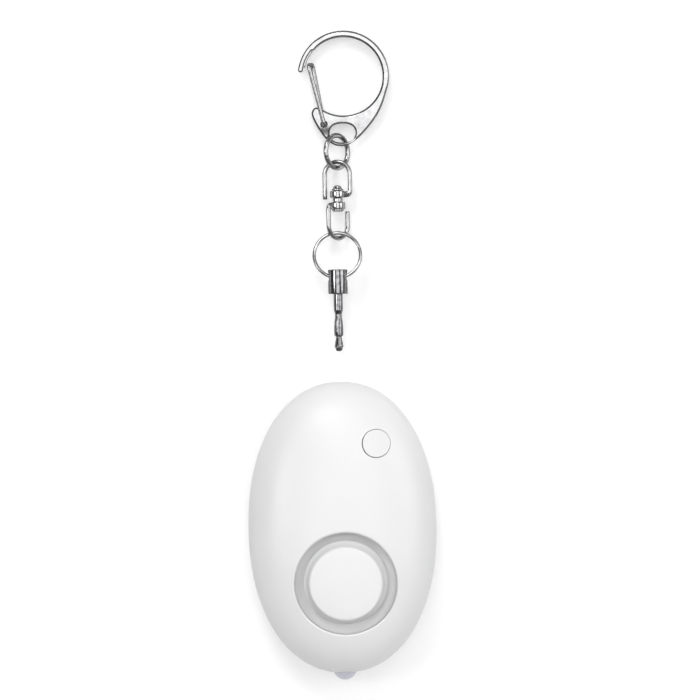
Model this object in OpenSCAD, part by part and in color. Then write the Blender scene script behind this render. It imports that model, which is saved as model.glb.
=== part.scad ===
// Personal safety alarm: an oval two-shell case with a sounder, a torch LED and a light button, and a
// pull pin that hangs on a ring, a two-bow swivel, a link ring and a spring-gate clip.
// X runs across the case, Y along it towards the clip, Z up from the flat back that lies on the table.
// The pin is shown pulled out, in line with its socket.

/* [Case] */
// Width of the case
case_w = 40; // [38:0.5:44]
// Length of the case
case_l = 61.8; // [60:0.2:68]
// Thickness of the case from its flat back to the top of the dome
case_t = 17.5; // [17:0.25:20]
// Height of the parting line, which is also the height of the pin and the LED
parting_z = 5.7; // [5.4:0.1:6.2]
// Wall thickness of both shells
wall = 1.6; // [1.4:0.1:2]
// Width of the rounded edge around the flat back
back_round = 5.5; // [4:0.5:7]
// Depth of the fine chamfer that shows as the seam between the shells
seam = 0.2; // [0.1:0.05:0.3]
// Height of the locating lip of the rear shell
lip_h = 0.8; // [0.5:0.1:1.2]

/* [Sounder] */
// Sideways place of the sounder
sounder_x = 0.5; // [-1:0.1:1]
// Distance from the lower end of the case to the middle of the sounder
sounder_end = 19.3; // [18.5:0.1:21]
// Outer diameter of the round groove
groove_d = 21.5; // [21.4:0.1:23]
// Diameter of the flush disc inside the groove
disc_d = 15.3; // [14:0.1:16]
// Depth of the groove below the middle of the disc
groove_depth = 3.2; // [2.8:0.1:3.6]
// Width of the slit that lets the sound out at the bottom of the groove
slit = 0.3; // [0.2:0.05:0.5]
// Diameter of the piezo's brass plate
piezo_d = 20; // [18:0.5:20]

/* [Light button] */
// Sideways place of the button
button_x = 7.5; // [6.5:0.1:8]
// Distance from the upper end of the case to the middle of the button
button_end = 13.05; // [12.5:0.05:14]
// Diameter of the button
button_d = 5.9; // [5:0.1:6.4]
// Travel of the button
button_travel = 0.5; // [0.3:0.05:0.6]

/* [Torch LED] */
// Diameter of the LED
led_d = 5; // [4.8:0.1:5.2]
// Length of the LED from its flange to its tip
led_l = 8.6; // [8.2:0.1:9]
// How far the LED's tip stands out of the case
led_proud = 1.55; // [1.2:0.05:1.8]

/* [Cells] */
// Diameter of a button cell
cell_d = 11.6; // [11.4:0.1:11.8]
// Thickness of a button cell
cell_h = 5.4; // [5.2:0.1:5.6]
// Space between the LED and the wall of the battery bay
bay_gap = 1.15; // [0.8:0.05:1.5]

/* [Circuit board] */
// Width of the board
board_w = 22; // [21.6:0.2:23]
// Space between the far end of the board and the end of the case
board_end = 7.45; // [6.9:0.05:8]
// Thickness of the board
board_t = 1; // [0.8:0.1:1.2]
// Space between the cells and the board, which the contacts fill
contact_gap = 1.1; // [0.9:0.1:1.2]

/* [Screws] */
// Diameter of the screw threads
screw_d = 2; // [1.8:0.1:2.2]
// Sideways place of the case screws
screw_x = 12.6; // [12.4:0.1:13]
// Lengthwise place of the upper case screws
screw_up_y = 13; // [12:0.2:14]
// Lengthwise place of the lower case screws
screw_low_y = -9; // [-9.6:0.2:-8]

/* [Pull pin] */
// Diameter of the pin
pin_d = 1.9; // [1.7:0.05:2.1]
// Length of the pin below its collar
pin_l = 12.2; // [11.6:0.1:13]
// Space between the pin's tip and the case while the pin is out
pin_out = 6.45; // [5:0.05:9]
// Diameter of the collar
collar_d = 4.1; // [3.8:0.1:4.4]
// Length of the collar
collar_l = 5.2; // [5:0.1:6]

/* [Pin ring] */
// Outer diameter of the pin ring
pin_ring_d = 10.6; // [10.4:0.1:11.4]
// Wire diameter of the pin ring
pin_ring_wire = 0.73; // [0.65:0.01:0.8]
// Angle at which the pin ring droops from the collar
pin_ring_droop = 15; // [12:0.5:18]

/* [Swivel] */
// Width of a swivel bow
bow_w = 6.45; // [6.2:0.05:7]
// Height of a swivel bow from its plate to the top of its arch
bow_h = 8.15; // [8:0.05:9]
// Diameter of the rod that a bow is bent from
bow_rod = 0.95; // [0.85:0.05:1.05]
// Thickness of the bow's plate
plate_t = 1.5; // [1.2:0.1:1.7]
// Diameter of the rivet's shank
rivet_d = 1.4; // [1.2:0.1:1.6]
// Length of the rivet's neck between the two plates
rivet_neck = 0.95; // [0.6:0.05:1.3]
// Turn of the lower bow about the rivet
lower_turn = 43; // [38:1:52]
// Turn of the upper bow about the rivet
upper_turn = -12; // [-16:1:-8]

/* [Link ring] */
// Outer diameter of the link ring
link_d = 8; // [7.9:0.1:8.4]
// Wire diameter of the link ring
link_wire = 1.06; // [0.95:0.01:1.1]
// Turn of the link ring about the length of the chain
link_turn = 48; // [46:1:50]

/* [Clip] */
// Inner diameter of the clip's hook
hook_d = 16.74; // [16:0.1:18]
// Width of the hook's bow in the plane of the clip
hook_w = 1.25; // [1.1:0.05:1.5]
// Thickness of the clip
clip_t = 2.1; // [1.9:0.1:2.2]
// Thickness of the bar that the link ring hangs on
bar_w = 0.8; // [0.7:0.05:1]
// Wire diameter of the gate
gate_wire = 0.85; // [0.75:0.05:0.95]

/* [Hidden] */
$fn = 64;

// Clearances: a cut's overlap, a close fit, a sliding fit and a thread in its pilot hole
cut = 0.5;
fit = 0.15;
slide_fit = 0.08;
thread_fit = 0.05;

// Fullness of the oval outline, of the dome and of the rounded back, where 2 is a true ellipse
oval_power = 2.15;
dome_power = 2.6;
back_power = 2.5;
oval_sides = 72;
dome_steps = 14;
inner_steps = 10;

case_a = case_w / 2;
case_b = case_l / 2;
dome_h = case_t - parting_z;
sounder_y = sounder_end - case_b;
button_y = case_b - button_end;

function signed_power(value, power) = sign(value) * pow(abs(value), power);
function oval_x(turn) = signed_power(cos(turn), 2 / oval_power);
function oval_y(turn) = signed_power(sin(turn), 2 / oval_power);
function oval_share(x, y) =
    pow(pow(abs(x) / case_a, oval_power) + pow(abs(y) / case_b, oval_power), 1 / oval_power);
function dome_z(x, y) = inner_dome_z(x, y, 0);
function inner_dome_z(x, y, inset) =
    let (share = min(oval_share(x * case_a / (case_a - inset), y * case_b / (case_b - inset)), 1))
    parting_z + (dome_h - inset) * pow(1 - pow(share, dome_power), 1 / dome_power);

// One ring of a dome: half width, half length and height
function dome_ring(inset, share) =
    let (k = pow(cos(90 * share), 2 / dome_power), s = pow(sin(90 * share), 2 / dome_power))
    [(case_a - inset) * k, (case_b - inset) * k, parting_z + (dome_h - inset) * s];

// One ring of the rounded back, from the flat (share 0) to the parting line (share 1)
function back_ring(inset, share) =
    let (k = pow(sin(90 * share), 2 / back_power), s = pow(cos(90 * share), 2 / back_power))
    [case_a - back_round + (back_round - inset) * k, case_b - back_round + (back_round - inset) * k,
    inset + (parting_z - inset) * (1 - s)];

function rim_ring(inset, z) = [case_a - inset, case_b - inset, z];

// A closed solid from a run of oval rings, with a point on the middle line at each end
module oval_lathe(rings, z_first, z_last) {
    count = len(rings);
    last = count * oval_sides + 1;
    corners = [for (ring = rings, j = [0:oval_sides - 1])
        [ring[0] * oval_x(360 * j / oval_sides), ring[1] * oval_y(360 * j / oval_sides), ring[2]]];
    function at(i, j) = 1 + i * oval_sides + j % oval_sides;
    first_fan = [for (j = [0:oval_sides - 1]) [0, at(0, j + 1), at(0, j)]];
    last_fan = [for (j = [0:oval_sides - 1]) [at(count - 1, j), at(count - 1, j + 1), last]];
    near_faces = [for (i = [0:count - 2], j = [0:oval_sides - 1]) [at(i, j), at(i, j + 1), at(i + 1, j + 1)]];
    far_faces = [for (i = [0:count - 2], j = [0:oval_sides - 1]) [at(i, j), at(i + 1, j + 1), at(i + 1, j)]];
    polyhedron(concat([[0, 0, z_first]], corners, [[0, 0, z_last]]),
        concat(first_fan, near_faces, far_faces, last_fan));
}

// The full dome above the parting line, used to finish what lies flush with it
dome_rings = [for (i = [dome_steps - 1:-1:1]) dome_ring(0, i / dome_steps)];
module dome_solid() {
    oval_lathe(concat(dome_rings, [rim_ring(0, parting_z)]), case_t, parting_z);
}

module stadium(y_low, y_high, half_w, z_low, z_high) {
    for (y = [y_low + half_w, y_high - half_w])
        translate([0, y, z_low]) cylinder(r = half_w, h = z_high - z_low);
    translate([-half_w, y_low + half_w, z_low])
        cube([2 * half_w, y_high - y_low - 2 * half_w, z_high - z_low]);
}

// Battery bay
ledge_t = 0.5;
strip_t = 0.3;
strip_w = 2.4;
bay_wall = 1.2;
ledge_w = 0.7;
riser_room = 0.8;
door_t = wall - ledge_t;
cell_z = door_t + strip_t;
cell_pitch = cell_d + 0.2;
bay_half_w = cell_d / 2 + 2 * fit;
led_tip_y = -case_b - led_proud;
led_base_y = led_tip_y + led_l;
bay_low = led_base_y + bay_gap + bay_wall;
cell_mid_y = bay_low + bay_half_w + cell_pitch;
bay_high = cell_mid_y + cell_pitch + bay_half_w + riser_room;
door_half_w = bay_half_w + ledge_w + bay_wall;
door_low = bay_low - ledge_w - bay_wall;
door_high = bay_high + ledge_w + bay_wall;
board_z = cell_z + cell_h + contact_gap;
board_top = board_z + board_t;

// Screws
head_d = 1.9 * screw_d;
head_h = 0.6;
post_r = screw_d / 2 + 1.3;
case_screw_seat = 2.2;
case_screw_l = 7;
door_screw_l = 5;
ear_r = head_d / 2 + 1.7;
ear_x = door_half_w + post_r;
ear_y = cell_mid_y + 5.1;
case_screw_places = [for (x = [-screw_x, screw_x], y = [screw_low_y, screw_up_y]) [x, y]];

// Sounder, in a frame that lies on the dome at the sounder's middle
groove_r = groove_d / 2;
disc_r = disc_d / 2;
slit_r = (groove_r + disc_r) / 2;
groove_round = groove_r - slit_r - slit / 2;
cap_flare = slit_r - slit / 2 - disc_r;
cap_rim = 0.25;
under_cap = 0.25;
sound_floor = groove_depth + cap_rim + under_cap;
sound_floor_t = 0.8;
chamber_h = 0.5;
plate_depth = sound_floor + sound_floor_t + chamber_h;
piezo_t = 0.2;
ceramic_share = 0.7;
cup_wall = 1;
cup_r = piezo_d / 2 + fit + cup_wall;
cup_end = plate_depth + 3 * piezo_t;
hub_r = 2.5;
sound_hole_d = 1.8;
sound_hole_count = 6;
sounder_z = dome_z(sounder_x, sounder_y);
sounder_tilt = atan2(dome_z(sounder_x, sounder_y + groove_r) - dome_z(sounder_x, sounder_y - groove_r),
    groove_d);
cup_start = sounder_z - dome_z(abs(sounder_x) + cup_r, sounder_y) + wall / 4;
above_dome = 4;
// The foot of the cup that holds the board down stands under the middle of the cup's lower wall
cup_foot_r = piezo_d / 2 + fit + cup_wall / 2;
cup_foot_y = sounder_y - cup_foot_r * cos(sounder_tilt) + cup_end * sin(sounder_tilt);
cup_foot_z = sounder_z - cup_foot_r * sin(sounder_tilt) - (cup_end - cup_wall / 2) * cos(sounder_tilt);
board_post = [-7, button_y];
board_post_r = 1.2;

// Parts on the board: where each stands from the board's middle, and its size
chip_place = [-4, 5];
chip_size = [3.9, 4.9, 1.4];
chip_lift = 0.15;
chip_lead = [1.1, 0.4, 0.3];
chip_lead_pitch = 1.27;
coil_place = [3.6, 7];
coil_r = 2.6;
coil_h = 3.8;
coil_flange = 0.7;
coil_waist = 0.4;
transistor_place = [-7.5, 11];
transistor_size = [1.3, 2.9, 1];
transistor_lead = [0.7, 0.4, 0.25];
transistor_lead_y = 0.95;
resistor_size = [1.6, 0.8, 0.45];
resistor_pitch = 1.7;
resistor_places = [for (i = [0:3]) [-8, i * resistor_pitch - 1.4]];
capacitor_size = [2, 1.25, 0.9];
capacitor_places = [[-1, 11.5], [-1, 13.5], [8, 3]];

module at_sounder() {
    translate([sounder_x, sounder_y, sounder_z])
        rotate([sounder_tilt, 0, 0]) children();
}

// Quarter curve of the groove's bottom: side -1 sweeps from the wall to the slit, 1 from the disc to the slit
function groove_curve(wall_r, side) = [for (a = [0:15:90])
    [wall_r + side * groove_round * (1 - cos(a)), groove_round * (1 - sin(a)) - groove_depth]];

// Button and switch
button_r = button_d / 2;
flange_r = button_r + 0.7;
flange_t = 0.8;
switch_w = 3.6;
switch_h = 1.2;
plunger_d = 1.6;
plunger_in = 0.4;
switch_top = board_top + switch_h;
// The flange stops below the lowest part of the dome's inner face that it reaches under
flange_out = 1 + flange_r / norm([button_x, button_y]);
flange_top = inner_dome_z(button_x * flange_out, button_y * flange_out, wall) - 2 * fit;
button_foot = flange_top - flange_t;

// LED and pin socket
led_flange = 0.4;
led_flange_t = 1;
lead_w = 0.5;
lead_x = 1.27;
lead_tail = 1;
anvil_l = 4.6;
post_l = 4.2;
cup_l = 1.6;
board_low = led_base_y + 2 * fit;
board_l = case_b - board_end - board_low;
board_mid_y = board_low + board_l / 2;
socket_half_w = 3.5;
socket_low = bay_high + bay_wall + 1.2;
socket_high = case_b - 2 * wall - 0.2;
socket_bore_r = pin_d / 2 + 2 * fit;
socket_foot = parting_z - socket_bore_r - 0.8;
leaf_t = 0.2;
leaf_w = 1.4;
leaf_z = pin_d / 2 + fit;
leaf_out = 0.6;
leaf_stop = 1;
tail_w = 0.8;
tail_t = 0.3;
lower_tail_x = 1.6;

// Pull pin, in line with the socket
pin_tip_y = case_b + pin_out;
collar_y = pin_tip_y + pin_l;
collar_top = collar_y + collar_l;
spigot_l = 1.6;
ring_hole_r = 0.78;
ring_hole_inset = 1.5;
ring_hole_y = collar_top - ring_hole_inset;
pin_ring_r = (pin_ring_d - pin_ring_wire) / 2;
// Sagging of the ring's curve inside the collar, shared between the two ends of the hole
ring_seat_y = ring_hole_y - 0.2;
pin_ring_far_y = ring_seat_y + 2 * pin_ring_r * cos(pin_ring_droop);
pin_ring_far_z = parting_z - 2 * pin_ring_r * sin(pin_ring_droop);

// Swivel, whose axis lies at the height of the ring's far end
chain_x = 0.3;
link_play = 0.3;
bow_gap = 0.35;
plate_r = 1.6;
plate_w = 0.8 * bow_rod;
rivet_head_r = 1.25;
rivet_head_t = 1.1;
rivet_tail_t = 0.5;
swivel_z = pin_ring_far_z;
bow_inner = bow_h - bow_rod;
lower_plate_y = pin_ring_far_y - pin_ring_wire / 2 - link_play + bow_inner;
upper_plate_y = lower_plate_y + rivet_neck;
arch_in_y = upper_plate_y + bow_inner;

// Link ring, with its lowest point on the table
link_r = (link_d - link_wire) / 2;
link_play_bow = 0.3;
link_y = arch_in_y - link_play_bow - link_wire / 2 + link_r;
link_z = link_r * sin(link_turn) + link_wire / 2 + 0.03;

// Clip, whose bar lies inside the link ring
bar_play = 0.95;
bar_top = link_y + link_r - link_wire / 2 - bar_play;
bar_low = bar_top - bar_w;
slot_half_h = 2;
slot_half_w = 2.7;
slot_x = 1.6;
slot_y = bar_top + slot_half_h;
hook_r = hook_d / 2;
hook_x = 2;
hook_y = slot_y + slot_half_h + 1.7 + hook_r;
hook_mid_r = hook_r + hook_w / 2;
nose_angle = 171;
foot_r = slot_half_h + bar_w;
pivot_x = -2.3;
pivot_y = slot_y + 1.9;
lobe_r = 1.4;
lobe_x = pivot_x - 1.2;
lobe_y = pivot_y + 2.25;
side_r = 3.1;
side_x = hook_x + hook_r + hook_w - side_r - 1.05;
side_y = hook_y - 4.4;
// Corners of the foot's outline: where each rounded corner is and its radius
foot_corners = [[slot_x - 1.1, slot_y, foot_r], [slot_x + 0.4, slot_y, foot_r], [lobe_x, lobe_y, lobe_r],
    [slot_x + 3.3, slot_y + 3.75, side_r + 0.2], [side_x, side_y, side_r]];
foot_t = clip_t - 0.2;
rim_start = atan2(lobe_y - hook_y, lobe_x - hook_x) + 2;
nose_step = 0.65;
nose_step_start = 141;
nose_tongue = 0.8;
pivot_dish = 0.35;
clip_z = clip_t / 2 + gate_wire + 2 * fit;
bar_half_t = 0.4;
bar_ease = 2.4;
bar_slope = 30;
gate_z = clip_t / 2 + slide_fit + gate_wire / 2;
gate_tip_angle = 161.5;
gate_tip_r = hook_r - gate_wire / 2 - fit;
gate_tip = [hook_x + gate_tip_r * cos(gate_tip_angle), hook_y + gate_tip_r * sin(gate_tip_angle)];

module front_shell() {
    color("white") difference() {
        union() {
            oval_lathe(concat(dome_rings,
                [rim_ring(0, parting_z + seam), rim_ring(seam, parting_z), rim_ring(wall / 2, parting_z),
                rim_ring(wall / 2, parting_z + lip_h + fit), rim_ring(wall, parting_z + lip_h + fit)],
                [for (i = [1:inner_steps - 1]) dome_ring(wall, i / inner_steps)]), case_t, case_t - wall);
            at_sounder() translate([0, 0, -cup_end]) cylinder(r = cup_r, h = cup_end - cup_start);
            for (p = case_screw_places)
                front_post(p[0], p[1], post_r, parting_z + lip_h + fit, wall);
            front_post(board_post[0], board_post[1], board_post_r, board_top, wall);
            translate([sounder_x, cup_foot_y, board_top]) cylinder(d = cup_wall, h = cup_foot_z - board_top);
        }
        at_sounder() rotate_extrude() polygon(concat([[0, above_dome], [groove_r, above_dome]],
            groove_curve(groove_r, -1), [[slit_r + slit / 2, -sound_floor], [0, -sound_floor]]));
        at_sounder() translate([0, 0, -plate_depth])
            cylinder(r = piezo_d / 2 - 0.7, h = chamber_h);
        at_sounder() translate([0, 0, -cup_end - cut])
            cylinder(r = piezo_d / 2 + fit, h = cup_end - plate_depth + cut);
        at_sounder() for (i = [0:sound_hole_count - 1])
            rotate([0, 0, i * 360 / sound_hole_count]) translate([disc_r - 1.6, 0, -plate_depth])
                cylinder(d = sound_hole_d, h = above_dome);
        for (p = case_screw_places)
            translate([p[0], p[1], parting_z - cut])
                cylinder(r = screw_d / 2 + thread_fit, h = case_screw_seat + case_screw_l - parting_z + 2 * cut);
        translate([button_x, button_y, flange_top]) cylinder(r = button_r + fit, h = case_t);
        end_openings();
    }
}

// A post that reaches from a height up into the dome's wall, ending below the outer face by a skin
module front_post(x, y, r, z, skin) {
    out = 1 + r / norm([x, y]);
    translate([x, y, z]) cylinder(r = r, h = dome_z(x * out, y * out) - skin / 3 - z);
}

// Holes for the LED and the pin, centred on the parting line
module end_openings() {
    translate([0, -case_b + wall * 2, parting_z])
        rotate([90, 0, 0]) cylinder(d = led_d + 2 * slide_fit, h = wall * 3);
    translate([0, case_b + wall, parting_z])
        rotate([90, 0, 0]) cylinder(r = socket_bore_r, h = wall * 3);
}

module rear_shell() {
    color("white") difference() {
        union() {
            oval_lathe(concat([for (i = [0:inner_steps]) back_ring(wall, i / inner_steps)],
                [rim_ring(wall, parting_z + lip_h), rim_ring(wall / 2 + fit, parting_z + lip_h),
                rim_ring(wall / 2 + fit, parting_z), rim_ring(seam, parting_z), rim_ring(0, parting_z - seam)],
                [for (i = [inner_steps - 1:-1:0]) back_ring(0, i / inner_steps)]), wall, 0);
            stadium(bay_low - bay_wall, bay_high + bay_wall, bay_half_w + bay_wall, door_t, board_z);
            for (p = case_screw_places)
                translate([p[0], p[1], wall - 0.1]) cylinder(r = post_r + 0.4, h = parting_z - wall + 0.1);
            translate([ear_x, ear_y, door_t]) cylinder(r = post_r, h = door_screw_l + 0.5);
        }
        stadium(bay_low, bay_high, bay_half_w, -cut, board_z + cut);
        door_outline(fit, -cut, door_t);
        for (p = case_screw_places) {
            translate([p[0], p[1], -cut]) cylinder(d = head_d + 2 * fit, h = case_screw_seat + cut);
            translate([p[0], p[1], 0]) cylinder(r = screw_d / 2 + thread_fit, h = parting_z + lip_h + cut);
        }
        translate([ear_x, ear_y, 0]) cylinder(r = screw_d / 2 + thread_fit, h = door_screw_l + 1);
        end_openings();
    }
}

module door_outline(grow, z_low, z_high) {
    stadium(door_low - grow, door_high + grow, door_half_w + grow, z_low, z_high);
    translate([ear_x, ear_y, z_low]) cylinder(r = ear_r + grow, h = z_high - z_low);
}

module battery_door() {
    color("white") difference() {
        door_outline(0, 0, door_t);
        translate([ear_x, ear_y, -cut]) cylinder(d = head_d + 2 * fit, h = head_h + cut);
        translate([ear_x, ear_y, 0]) cylinder(r = screw_d / 2 + fit, h = door_t + cut);
    }
}

// A pan-head screw with a cross recess, head down, whose head seats at the origin
module pan_screw(length) {
    difference() {
        union() {
            translate([0, 0, -head_h]) cylinder(d = head_d, h = head_h);
            cylinder(d = screw_d, h = length);
        }
        for (turn = [0, 90])
            rotate([0, 0, turn]) translate([0, 0, -head_h]) cube([head_d * 0.6, 0.4, 0.7], center = true);
    }
}

module battery_door_screw() {
    color("silver") translate([ear_x, ear_y, head_h]) pan_screw(door_screw_l);
}

module case_screws() {
    color("silver") for (p = case_screw_places)
        translate([p[0], p[1], case_screw_seat]) pan_screw(case_screw_l);
}

module sounder_cap() {
    color("white") intersection() {
        dome_solid();
        at_sounder() rotate_extrude() polygon(concat([[0, above_dome], [disc_r, above_dome]],
            groove_curve(disc_r, cap_flare / groove_round),
            [[disc_r + cap_flare, -groove_depth - cap_rim], [hub_r, -groove_depth - cap_rim],
            [hub_r, -sound_floor], [0, -sound_floor]]));
    }
}

module piezo_plate() {
    color("goldenrod") at_sounder() translate([0, 0, -plate_depth - piezo_t])
        cylinder(d = piezo_d, h = piezo_t);
}

module piezo_ceramic() {
    color("lightgray") at_sounder() translate([0, 0, -plate_depth - 2 * piezo_t])
        cylinder(d = piezo_d * ceramic_share, h = piezo_t);
}

// A lead from under the piezo down to the board
module piezo_lead(x, y, depth) {
    difference() {
        at_sounder() translate([x, y, -depth - above_dome]) cylinder(d = 0.7, h = above_dome);
        translate([-case_w, -case_l, board_top - case_t]) cube([2 * case_w, 2 * case_l, case_t]);
    }
}

module piezo_lead_red() {
    color("red") piezo_lead(-2.5, piezo_d * ceramic_share / 2 - 1.6, plate_depth + 2 * piezo_t);
}

module piezo_lead_black() {
    color("black") piezo_lead(2.5, piezo_d / 2 - 1.6, plate_depth + piezo_t);
}

module circuit_board() {
    color("darkgreen") difference() {
        intersection() {
            translate([-board_w / 2, board_low, board_z]) cube([board_w, board_l, board_t]);
            translate([0, board_mid_y, board_z]) cylinder(r = board_l / 2 + 0.3, h = board_t, $fn = 128);
        }
        for (p = case_screw_places)
            translate([p[0], p[1], board_z - cut]) cylinder(r = post_r + 2 * fit, h = board_t + 2 * cut);
    }
}

module on_board(x, y) {
    translate([x, board_mid_y + y, board_top]) children();
}

module controller_chip() {
    row_x = chip_size[0] / 2 + 0.4;
    color("dimgray") on_board(chip_place[0], chip_place[1]) {
        translate([-chip_size[0] / 2, -chip_size[1] / 2, chip_lift]) cube(chip_size);
        for (side = [-1, 1], i = [-1.5:1.5])
            translate([side * row_x - chip_lead[0] / 2, i * chip_lead_pitch - chip_lead[1] / 2, 0])
                cube(chip_lead);
    }
}

module boost_coil() {
    waist_r = coil_r - coil_waist;
    low = coil_flange + coil_waist / 2;
    color("darkorange") on_board(coil_place[0], coil_place[1]) rotate_extrude()
        polygon([[0, 0], [coil_r, 0], [coil_r, coil_flange], [waist_r, low], [waist_r, coil_h - low],
            [coil_r, coil_h - coil_flange], [coil_r, coil_h], [0, coil_h]]);
}

module driver_transistor() {
    row_x = transistor_size[0] / 2 + transistor_lead[0] / 2 - 0.1;
    color("dimgray") on_board(transistor_place[0], transistor_place[1]) {
        translate([-transistor_size[0] / 2, -transistor_size[1] / 2, transistor_lead[2] / 2])
            cube(transistor_size);
        for (pin = [[-1, -1], [-1, 1], [1, 0]])
            translate([pin[0] * row_x, pin[1] * transistor_lead_y, 0])
                translate([-transistor_lead[0] / 2, -transistor_lead[1] / 2, 0]) cube(transistor_lead);
    }
}

// Small two-ended chips of one size on the board
module chip_row(places, size) {
    for (p = places)
        on_board(p[0], p[1]) translate([-size[0] / 2, -size[1] / 2, 0]) cube(size);
}

module chip_resistors() {
    color("black") chip_row(resistor_places, resistor_size);
}

module chip_capacitors() {
    color("tan") chip_row(capacitor_places, capacitor_size);
}

module switch_body() {
    color("dimgray") difference() {
        translate([button_x - switch_w / 2, button_y - switch_w / 2, board_top])
            cube([switch_w, switch_w, switch_h]);
        translate([button_x, button_y, switch_top - plunger_in - button_travel - 0.1])
            cylinder(d = plunger_d + 2 * slide_fit, h = switch_h);
    }
}

module switch_plunger() {
    color("black") translate([button_x, button_y, switch_top - plunger_in])
        cylinder(d = plunger_d, h = button_foot - switch_top + plunger_in);
}

module light_button() {
    color("white") {
        intersection() {
            dome_solid();
            translate([button_x, button_y, button_foot]) cylinder(r = button_r, h = case_t);
        }
        translate([button_x, button_y, button_foot]) cylinder(r = flange_r, h = flange_t);
    }
}

module led_lens() {
    color("lavender") difference() {
        translate([0, led_base_y, parting_z]) rotate([90, 0, 0]) {
            cylinder(d = led_d + 2 * led_flange, h = led_flange_t);
            cylinder(d = led_d, h = led_l - led_d / 2);
            translate([0, 0, led_l - led_d / 2]) sphere(d = led_d);
        }
        for (side = [-1, 1]) led_lead(side, fit / 3);
    }
}

// A lead frame half: its post inside the lens, its tail behind, and the riser to the board
module led_lead(side, grow) {
    length = side < 0 ? anvil_l : post_l;
    half = lead_w / 2 + grow;
    cup_half = 1.4 * half;
    translate([side * lead_x - half, led_base_y - length - grow, parting_z - half])
        cube([2 * half, length + lead_tail + grow, 2 * half]);
    translate([side * lead_x * 0.65 - cup_half, led_base_y - length - grow, parting_z - cup_half])
        cube([2 * cup_half, cup_l + 2 * grow, 2 * cup_half]);
    translate([side * lead_x - half, led_base_y + lead_tail - lead_w, parting_z - half])
        cube([2 * half, lead_w, board_z - parting_z + half]);
}

module led_leads() {
    color("silver") for (side = [-1, 1]) led_lead(side, 0);
}

module socket_housing() {
    color("black") difference() {
        translate([-socket_half_w, socket_low, socket_foot])
            cube([2 * socket_half_w, socket_high - socket_low, board_z - socket_foot]);
        translate([0, socket_high + cut, parting_z])
            rotate([90, 0, 0]) cylinder(r = socket_bore_r, h = socket_high - socket_low + 2 * cut);
        for (side = [-1, 1])
            translate([-leaf_w / 2 - fit, socket_low - cut, parting_z + side * (leaf_z + leaf_t / 2) - leaf_t])
                cube([leaf_w + 2 * fit, socket_high - socket_low - leaf_stop + cut, 2 * leaf_t]);
    }
}

// A contact leaf along the bore, with a tail that rises to the board behind the housing
module socket_leaf(side, x) {
    low = parting_z + side * (leaf_z + leaf_t / 2) - leaf_t / 2;
    translate([-leaf_w / 2, socket_low - leaf_out, low])
        cube([leaf_w, socket_high - socket_low - leaf_stop, leaf_t]);
    translate([x - tail_w / 2, socket_low - leaf_out, low]) cube([tail_w, tail_t, board_z - low]);
}

module socket_contact_upper() {
    color("gold") socket_leaf(1, 0);
}

module socket_contact_lower() {
    color("gold") {
        socket_leaf(-1, lower_tail_x);
        translate([0, socket_low - leaf_out, parting_z - leaf_z - leaf_t]) cube([lower_tail_x, tail_t, leaf_t]);
    }
}

// A button cell, can down, with its raised cap on top
module button_cell(y) {
    gasket = 0.25;
    color("silver") translate([0, y, cell_z]) rotate_extrude()
        polygon([[0, 0], [cell_d / 2 - 0.3, 0], [cell_d / 2, 0.3], [cell_d / 2, cell_h - 0.8],
            [cell_d / 2 - 0.4, cell_h - gasket], [cell_d / 2 - 1.1, cell_h - gasket],
            [cell_d / 2 - 1.1, cell_h], [0, cell_h]]);
}

module button_cell_1() { button_cell(cell_mid_y - cell_pitch); }
module button_cell_2() { button_cell(cell_mid_y); }
module button_cell_3() { button_cell(cell_mid_y + cell_pitch); }

// A flat spring strip on the cells, held off the board by folded pads
module cell_strip(y_low, y_high, pads) {
    translate([-strip_w / 2, y_low, cell_z + cell_h]) cube([strip_w, y_high - y_low, strip_t]);
    for (y = pads)
        translate([-strip_w / 2, y - strip_t / 2, cell_z + cell_h]) cube([strip_w, strip_t, contact_gap]);
}

module cell_contact_positive() {
    y = cell_mid_y - cell_pitch;
    color("gold") cell_strip(y - 3, y + 3, [y + 3 - strip_t / 2]);
}

module cell_link_front() {
    color("gold") cell_strip(cell_mid_y - 2, cell_mid_y + cell_pitch + 2, [cell_mid_y + cell_pitch / 2]);
}

module cell_link_rear() {
    color("gold") translate([-strip_w / 2, cell_mid_y - cell_pitch - 2, door_t])
        cube([strip_w, cell_pitch + 4, strip_t]);
}

module cell_contact_negative() {
    riser_y = bay_high - fit - strip_t;
    color("gold") {
        translate([-strip_w / 2, cell_mid_y + cell_pitch - 2, door_t])
            cube([strip_w, riser_y + strip_t - cell_mid_y - cell_pitch + 2, strip_t]);
        translate([-strip_w / 2, riser_y, door_t]) cube([strip_w, strip_t, board_z - door_t]);
    }
}

// The pin's turned outline from its tip up: domed end, groove, land, waist and plain shank
module pull_pin() {
    r = pin_d / 2;
    waist = 0.74 * r;
    neck = 0.63 * r;
    color("silver") translate([0, pin_tip_y, parting_z]) rotate([-90, 0, 0]) rotate_extrude()
        polygon([[0, 0], [0.45 * r, 0.08], [0.7 * r, 0.3], [0.8 * r, 0.6], [0.97 * r, 1.05], [0.97 * r, 1.25],
            [neck, 2.7], [neck, 3], [r, 3.35], [r, 5.2], [0.9 * r, 6.4], [waist, 7.4], [waist, 7.9],
            [r, 8.7], [r, pin_l + spigot_l], [0, pin_l + spigot_l]]);
}

module pin_collar() {
    r = collar_d / 2;
    edge = 0.35;
    color("silver") difference() {
        translate([0, collar_y, parting_z]) rotate([-90, 0, 0]) rotate_extrude()
            polygon([[0, 0], [r - edge, 0], [r, edge], [r, collar_l - edge], [r - edge, collar_l],
                [0, collar_l]]);
        translate([0, collar_y - cut, parting_z]) rotate([-90, 0, 0])
            cylinder(r = pin_d / 2 + slide_fit / 4, h = spigot_l + cut);
        translate([-collar_d, ring_hole_y, parting_z]) rotate([0, 90, 0])
            cylinder(r = ring_hole_r, h = 2 * collar_d);
    }
}

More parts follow.
